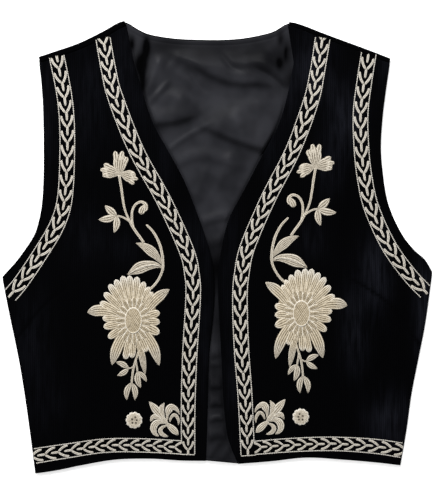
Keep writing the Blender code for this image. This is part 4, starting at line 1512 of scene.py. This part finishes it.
# The seeds' tone is painted shade: it follows their lattice, darkest in the gap between them.
SEED_TONE = {"ring": 0.88, "gap": 0.16, "seed": 0.52}
SEED_FORM = {"ring": 0.35, "ring_spread": 0.07, "sunk": 0.25, "seed": 0.35, "slant": 0.7, "per_mm": 1.35}
BASE = {"radii": (27.0, 36.0), "moved": (0, 1.5), "sunk": 0.02, "tone": 0.25}
BLOOM_LEAVES = rows_of(
    "from to width bend widest",
    ((12.0, 6.0), (40.2, 34.0), 12.0, 2.6, 0.62),
    ((8.0, -8.0), (28.9, -50.4), 12.0, 3.4, 0.55),
    ((4.0, -14.0), (13.6, -60.2), 7.6, 0.8, 0.6),
    ((-6.0, -10.0), (-22.9, -49.6), 12.5, -2.4, 0.55),
    ((-12.0, 4.0), (-50.0, 8.6), 13.0, -4.2, 0.72),
)
LONG_PETALS = rows_of(
    "to width",
    ((-11.4, 48.8), 8.4),
    ((-3.8, 49.2), 8.2),
    ((4.8, 47.8), 8.6),
    ((12.6, 42.4), 8.0),
    ((18.4, 36.6), 7.4),
    ((22.0, 31.0), 6.8),
    ((29.8, 8.6), 9.6),
    ((29.9, -2.2), 9.4),
    ((29.4, -14.6), 11.0),
    ((15.4, -35.0), 9.4),
    ((-0.8, -41.8), 8.4),
    ((-8.4, -43.2), 8.0),
    ((-27.2, -19.6), 8.6),
    ((-32.2, -7.6), 9.2),
    ((-33.4, 2.4), 8.8),
    ((-36.0, 19.8), 8.4),
    ((-31.4, 30.2), 8.4),
    ((-25.9, 39.4), 8.0),
    ((-19.0, 44.8), 7.8),
)
SHORT_PETALS = {
    "count": 19,
    "reach": (20.0, 26.5),
    "width": 6.8,
    "from": 0.85,
    "uneven": 0.05,
    "turn": 2.4,
}
PALE_TIP = {"from": 0.75, "paler": 0.30, "above_valley": 0.05}
LOBE_ROW = 2.4
VEIN = {"ends": 3, "half": 0.75, "high": 0.5}
HIGH = {
    "stem": 0.65,
    "leaf": 0.75,
    "petal": 0.8,
    "base": 0.7,
    "short_petal": 0.75,
    "short_lift": 0.35,
    "seeds": 1.5,
}

# %% Outlines of leaves and petals


def placed(plan, at, side):
    """Moves a plan in millimetres to its place. The right front has the mirror image."""
    turn = 1 if side == "left" else -1
    return (plan * (turn, 1) + at) * MM


def bowed(start, end, bend, step=1.2):
    """A line that bows to its left on the way: start + t * run + bend * sin(pi t)."""
    start, end = np.array(start), np.array(end)
    run = end - start
    length = np.hypot(*run)
    t = np.linspace(0, 1, max(int(length / step), 6))[:, None]
    left = np.array([-run[1], run[0]]) / length
    return start + t * run + np.sin(np.pi * t) * bend * left


def leaf_half(line, width, foot=0.12, widest=0.45):
    """Half widths of a pointed leaf: its foot's share of the width, and how far along it is widest."""
    t = distances(line) / distances(line)[-1]
    grown = foot + (1 - foot) * np.sin(np.pi / 2 * np.clip(t / widest, 0, 1))
    taper = np.cos(np.pi / 2 * np.clip((t - widest) / (1 - widest), 0, 1)) ** 0.8
    return np.maximum(width / 2 * grown * taper, LEAST_HALF["leaf"])


def paler_tip(pad, line):
    """Makes the last quarter of a petal paler, but not the valleys between its rows."""
    plan, height, tone, thread = pad
    t = (distances(line) / distances(line)[-1])[:, None]
    paler = PALE_TIP["paler"] * ease((t - PALE_TIP["from"]) / (1 - PALE_TIP["from"]))
    return plan, height, tone + paler * (tone > PAD["valley"] + PALE_TIP["above_valley"]), thread


def petal_half(line, width, foot=0.45, tip_length=0.85):
    """Half widths of a petal that widens from its foot and has an oval tip."""
    s = distances(line)
    grown = foot + (1 - foot) * ease(s / (0.6 * s[-1]))
    oval_part = tip_length * width
    tip = np.clip((s - (s[-1] - oval_part)) / oval_part, 0, 1)
    return np.maximum(width / 2 * grown * np.sqrt(1 - 0.995 * tip**2), LEAST_HALF["leaf"])


def lifted(pad, lift):
    """Raises a pad, all but its edge, which stays on the cloth."""
    plan, height, tone, thread = pad
    raised = height + lift
    raised[:, [0, -1]] = -PAD["sunk"]
    return plan, raised, tone, thread


# %% Round pads
LAST_RING = 0.02


def polar_pad(reach_of, rings, turns, height_of, tone_of):
    """A pad round its middle. Its reach, height and tone are formulas of direction and place.

    The rings go from the edge to a small share of the reach, where one face closes the pad.
    """
    angle = np.linspace(0, 2 * np.pi, turns, endpoint=False)
    share = np.linspace(1, LAST_RING, rings)[:, None]
    reach = share * reach_of(angle)[None]
    plan = np.dstack([reach * np.cos(angle), reach * np.sin(angle)])
    place = (plan[..., 0], plan[..., 1], share + 0 * reach, angle + 0 * reach)
    height = height_of(*place)
    height[0] = -PAD["sunk"]
    return plan, height, tone_of(*place), plan


def oval(rx, ry):
    """The reach of an oval in each direction."""
    return lambda angle: rx * ry / np.hypot(ry * np.cos(angle), rx * np.sin(angle))


def seed_lattice(x, y):
    """From 0 to 1: seeds on crossed rows about 2.4 mm apart, as the product of two sine waves."""
    slanted = SEED_FORM["slant"] * y
    waves = [np.sin((x + way * slanted) * SEED_FORM["per_mm"]) for way in (1, -1)]
    return np.abs(waves[0] * waves[1]) ** 0.6


def seed_head():
    """A low dome of seeds inside a raised ring."""
    rx, ry = SEED_HEAD["radii"]
    ring = 1 - SEED_HEAD["ring_width"] / rx

    def height_of(x, y, share, angle):
        """A dome that bears the ring, and inside it the seeds."""
        dome = HIGH["seeds"] * np.sqrt(np.clip(1 - 0.5 * share**2, 0, 1))
        from_ring = (share - (1 + ring) / 2) / SEED_FORM["ring_spread"]
        raised = dome + SEED_FORM["ring"] * np.exp(-(from_ring**2))
        seeds = dome - SEED_FORM["sunk"] + SEED_FORM["seed"] * seed_lattice(x, y)
        return np.where(share > ring, raised, seeds)

    def tone_of(x, y, share, angle):
        """Pale on the ring, and painted shade between the seeds, where the lattice sinks."""
        seeds = SEED_TONE["gap"] + SEED_TONE["seed"] * seed_lattice(x, y)
        return np.where(share > ring, SEED_TONE["ring"], seeds)

    return polar_pad(oval(rx, ry), 20, 72, height_of, tone_of)


def bloom_base():
    """The filling between the petals, which keeps the velvet covered."""

    def height_of(x, y, share, angle):
        """Nearly flat, and round at the edge: sqrt(1 - share^4)."""
        return HIGH["base"] * np.sqrt(np.clip(1 - share**4, 0, 1)) - BASE["sunk"]

    def tone_of(x, y, share, angle):
        """One dark tan."""
        return np.full(x.shape, BASE["tone"])

    return polar_pad(oval(*BASE["radii"]), 10, 48, height_of, tone_of)


# %% The pads of a spray


def short_petals(middle):
    """A ring of petals round the seed head. The sine of number * turn makes them uneven in length."""
    short = SHORT_PETALS
    for number in range(short["count"]):
        angle = 2 * np.pi * (number + 0.5) / short["count"]
        direction = np.array([np.cos(angle), np.sin(angle)])
        foot = direction * SEED_HEAD["radii"] * short["from"]
        tip = direction * short["reach"] * (1 + short["uneven"] * np.sin(number * short["turn"]))
        line = bowed(middle + foot, middle + tip, 0.0, 1.0)
        half = petal_half(line, short["width"], 0.7)
        yield lifted(pad_strip(line, half, 4, HIGH["short_petal"], "worn"), HIGH["short_lift"])


def bloom_pads():
    """The large flower from below: its filling, leaves, long petals, short petals and seeds."""
    middle = np.array(BLOOM["at"])
    plan, height, tone, thread = bloom_base()
    yield plan + middle + BASE["moved"], height, tone, thread
    for leaf in BLOOM_LEAVES:
        line = bowed(leaf["from"], leaf["to"], leaf["bend"])
        half = leaf_half(line, leaf["width"], 0.7, leaf["widest"])
        yield pad_strip(line, half, 5, HIGH["leaf"], edge="light")
    for petal in LONG_PETALS:
        toward = np.array(petal["to"]) - middle
        reach = BLOOM["petal_from"] * min(SEED_HEAD["radii"])
        line = bowed(middle + toward * reach / np.hypot(*toward), petal["to"], 0.0)
        half = petal_half(line, petal["width"])
        yield paler_tip(pad_strip(line, half, 4, HIGH["petal"], edge="light"), line)
    yield from short_petals(middle)
    plan, height, tone, thread = seed_head()
    yield plan + middle, height, tone, thread


def spray_pads():
    """Everything on one spray, from the lowest pad to the highest."""
    for leaf in VINE_LEAVES:
        line = curve(leaf["line"], 1.0)
        yield pad_strip(line, bulge(leaf["half"], len(line)), 6, HIGH["leaf"], edge="light")
        if leaf["vein"]:
            inner = line[VEIN["ends"] : -VEIN["ends"]]
            half = rounded_ends(np.full(len(inner), VEIN["half"]), float(len(inner)))
            yield lifted(pad_strip(inner, half, 1, VEIN["high"]), HIGH["leaf"])
    for leaflet in LEAFLETS:
        line = bowed(leaflet["from"], leaflet["to"], leaflet["bend"])
        yield pad_strip(line, leaf_half(line, leaflet["width"]), 3, HIGH["leaf"], edge="light")
    for lobe in LOBES:
        line = bowed(lobe["from"], lobe["to"], lobe["bend"], 1.0)
        rows = max(2, round(lobe["width"] / LOBE_ROW))
        half = petal_half(line, lobe["width"], 0.3, lobe["tip"])
        yield pad_strip(line, half, rows, HIGH["leaf"], edge="light")
    for stem in STEMS:
        yield stroke(stem["line"], stem["half"], 2, HIGH["stem"], edge="light")
    yield from bloom_pads()


# %% Sprays


def make_spray(side):
    """All pads of a spray, with thread that is warm in the large flower and greyer beyond it."""
    across, up = np.array(SPRAY_AT[side]) * MM

    def greyish(x, y):
        """0 in the large flower, and the vine's share from some way beyond it."""
        past = np.hypot(x - across, y - up) - BLOOM["warm_to"] * MM
        return GREYISH["vine"] * ease(past / (BLOOM["grey_over"] * MM))

    spray = Stitching(f"spray_{side}_stitching", side, greyish)
    for plan, height, tone, thread in spray_pads():
        spray.add(placed(plan, SPRAY_AT[side], side), height * MM, tone, thread, side == "right")
    return spray.finish(f"spray_{side}")


sprays = {side: make_spray(side) for side in SPRAY_AT}

# %% [markdown]
# ## The corner
#
# A palmette stands on its point in the corner of the two bands: a leaf, two lobes, two pairs of
# curls, a drop and a short leaf where they meet. A small scalloped rosette with five eyelets
# sits beside it. Both are drawn once from their middle, and mirrored for the right front.

# %% The shapes of a corner
CORNER_AT = {"left": (-58.8, -190.0), "right": (59.2, -187.5)}
ROSETTE_AT = {"left": (-91.3, -191.0), "right": (92.3, -187.3)}
CURLS = rows_of(
    "line half",
    (
        [(4.0, -1.0), (4.3, 6.0), (7.5, 13.2), (12.3, 12.4), (15.6, 9.2), (17.6, 5.2)],
        [0.9, 1.8, 4.3, 3.2, 1.9, 0.5],
    ),
    (
        [(6.6, -2.8), (8.2, 2.0), (10.9, 4.8), (13.7, 4.0), (15.8, 0.5), (16.6, -3.4), (16.2, -6.4)],
        [0.8, 1.4, 1.8, 1.9, 1.8, 1.3, 0.4],
    ),
    (
        [(1.6, -4.0), (-4.0, -2.9), (-9.0, -5.0), (-11.2, -10.4), (-9.4, -15.6), (-5.2, -18.8)],
        [1.2, 2.4, 4.0, 3.8, 2.6, 0.5],
    ),
    (
        [(2.8, -6.9), (-1.2, -8.8), (-3.6, -12.2), (-2.3, -15.8), (1.4, -18.0), (5.0, -18.8)],
        [0.8, 1.7, 2.5, 2.5, 1.9, 0.5],
    ),
    ([(0.8, -1.0), (-1.4, 6.0), (-2.4, 12.0), (0.8, 18.2)], [1.2, 2.4, 3.1, 0.4]),
    ([(-0.6, -1.4), (-6.2, 1.8), (-11.2, 2.6), (-14.8, -2.4)], [1.2, 2.3, 2.8, 0.4]),
)
CORNER_LEAVES = rows_of(
    "from to width bend foot widest",
    ((-2.0, 2.6), (-15.9, 19.6), 9.2, 0.0, 0.8, 0.4),
    ((2.4, -4.2), (16.4, -17.4), 8.0, 0.4, 0.25, 0.6),
    ((-3.4, 4.0), (5.6, -6.6), 5.4, 0.0, 0.9, 0.4),
)
CORNER_LIFT = 0.1
ROSETTE = {"reach": 9.5, "scallops": 11, "notch": 0.10, "high": 0.85, "ridge": 0.12}
# paler gives both the painted highlight on the ridges and the paler rim.
ROSETTE_TONE = {"base": 0.48, "paler": 0.25, "rim_from": 0.75, "rim_over": 0.15}
EYELET = {"radius": 0.85, "deep": 0.7, "dark": 0.95}
EYELETS = [(1.4, 3.1), (3.0, 0.0), (2.2, -3.1), (-1.7, -3.1), (-2.1, 0.8)]


# %% Palmettes and rosettes


def rosette_pad():
    """A low round pad with a scalloped edge, a ridge to each scallop and sunk, dark eyelets."""

    def reach_of(angle):
        """The scalloped edge: full in the middle of a scallop, and less in a notch."""
        scallop = np.abs(np.sin(angle * ROSETTE["scallops"] / 2))
        return ROSETTE["reach"] * (1 - ROSETTE["notch"] * (1 - scallop))

    def hole(x, y):
        """1 in the middle of an eyelet, and a bell curve of the distance round it."""
        squares = [(x - a) ** 2 + (y - b) ** 2 for a, b in EYELETS]
        return np.exp(-np.min(squares, axis=0) / EYELET["radius"] ** 2)

    def height_of(x, y, share, angle):
        """A low dome with its ridges, less the eyelets."""
        ridges = ROSETTE["ridge"] * np.abs(np.sin(angle * ROSETTE["scallops"])) * share
        dome = ROSETTE["high"] * np.sqrt(np.clip(1 - share**4, 0, 1))
        return dome + ridges - EYELET["deep"] * hole(x, y)

    def tone_of(x, y, share, angle):
        """A painted highlight on the ridges, a paler rim, and dark in the eyelets."""
        lines = ROSETTE_TONE["paler"] * np.abs(np.sin(angle * ROSETTE["scallops"])) * share
        past = (share - ROSETTE_TONE["rim_from"]) / ROSETTE_TONE["rim_over"]
        rim = ROSETTE_TONE["paler"] * ease(past)
        tone = ROSETTE_TONE["base"] + lines + rim - EYELET["dark"] * hole(x, y)
        return np.clip(tone, 0, 1)

    return polar_pad(reach_of, 22, 88, height_of, tone_of)


def palmette_pads():
    """The straight leaves, and the curls over them."""
    for leaf in CORNER_LEAVES:
        line = bowed(leaf["from"], leaf["to"], leaf["bend"], 1.0)
        half = leaf_half(line, leaf["width"], leaf["foot"], leaf["widest"])
        yield pad_strip(line, half, 4, HIGH["leaf"], "light")
    for curl in CURLS:
        line = curve(curl["line"], 0.9)
        pad = pad_strip(line, bulge(curl["half"], len(line)), 4, HIGH["leaf"], "light")
        yield lifted(pad, CORNER_LIFT)


def make_motif(name, side, at, pads):
    """One motif of a corner, from its pads."""
    motif = Stitching(f"{name}_{side}_stitching", side, evenly(GREYISH["corner"]))
    for plan, height, tone, thread in pads:
        motif.add(placed(plan, at, side), height * MM, tone, thread, side == "right")
    return motif.finish(f"{name}_{side}")


def make_corner(side):
    """The palmette and the rosette beside it."""
    return [
        make_motif("palmette", side, CORNER_AT[side], palmette_pads()),
        make_motif("rosette", side, ROSETTE_AT[side], [rosette_pad()]),
    ]


corners = {side: make_corner(side) for side in CORNER_AT}

# %% [markdown]
# ## Finish
#
# Each piece of cloth stands for its solid and rides on the garment's one body.

# %% Finish


def declare_cloth(thing, node, paint):
    """Gives a cut piece its material, puts it on the garment's one body and hides its solid.

    It also measures the areas of the wall's faces and the box round it as it lies, but uses neither.
    Cloth has two faces, so its own area is half that of the whole wall.
    """
    thing.data.materials.append(MATERIALS[paint])
    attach(thing, "root")
    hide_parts(node)
    mesh = thing.data
    areas = np.empty(len(mesh.polygons))
    mesh.polygons.foreach_get("area", areas)
    corners = np.empty(len(mesh.vertices) * 3)
    mesh.vertices.foreach_get("co", corners)
    width, length, height = np.ptp(corners.reshape(-1, 3), axis=0)


declare_cloth(back, "back", "velvet")
declare_cloth(lining, "back_lining", "satin")
for side, front in fronts.items():
    stitched = [*bands[side], sprays[side], *corners[side]]
    declare_cloth(front, "front_" + side, "velvet")

sizes = {"cad": cad_box, "visual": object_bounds()}
plain = {name: [list(corner) for corner in box] for name, box in sizes.items()}
print(plain)
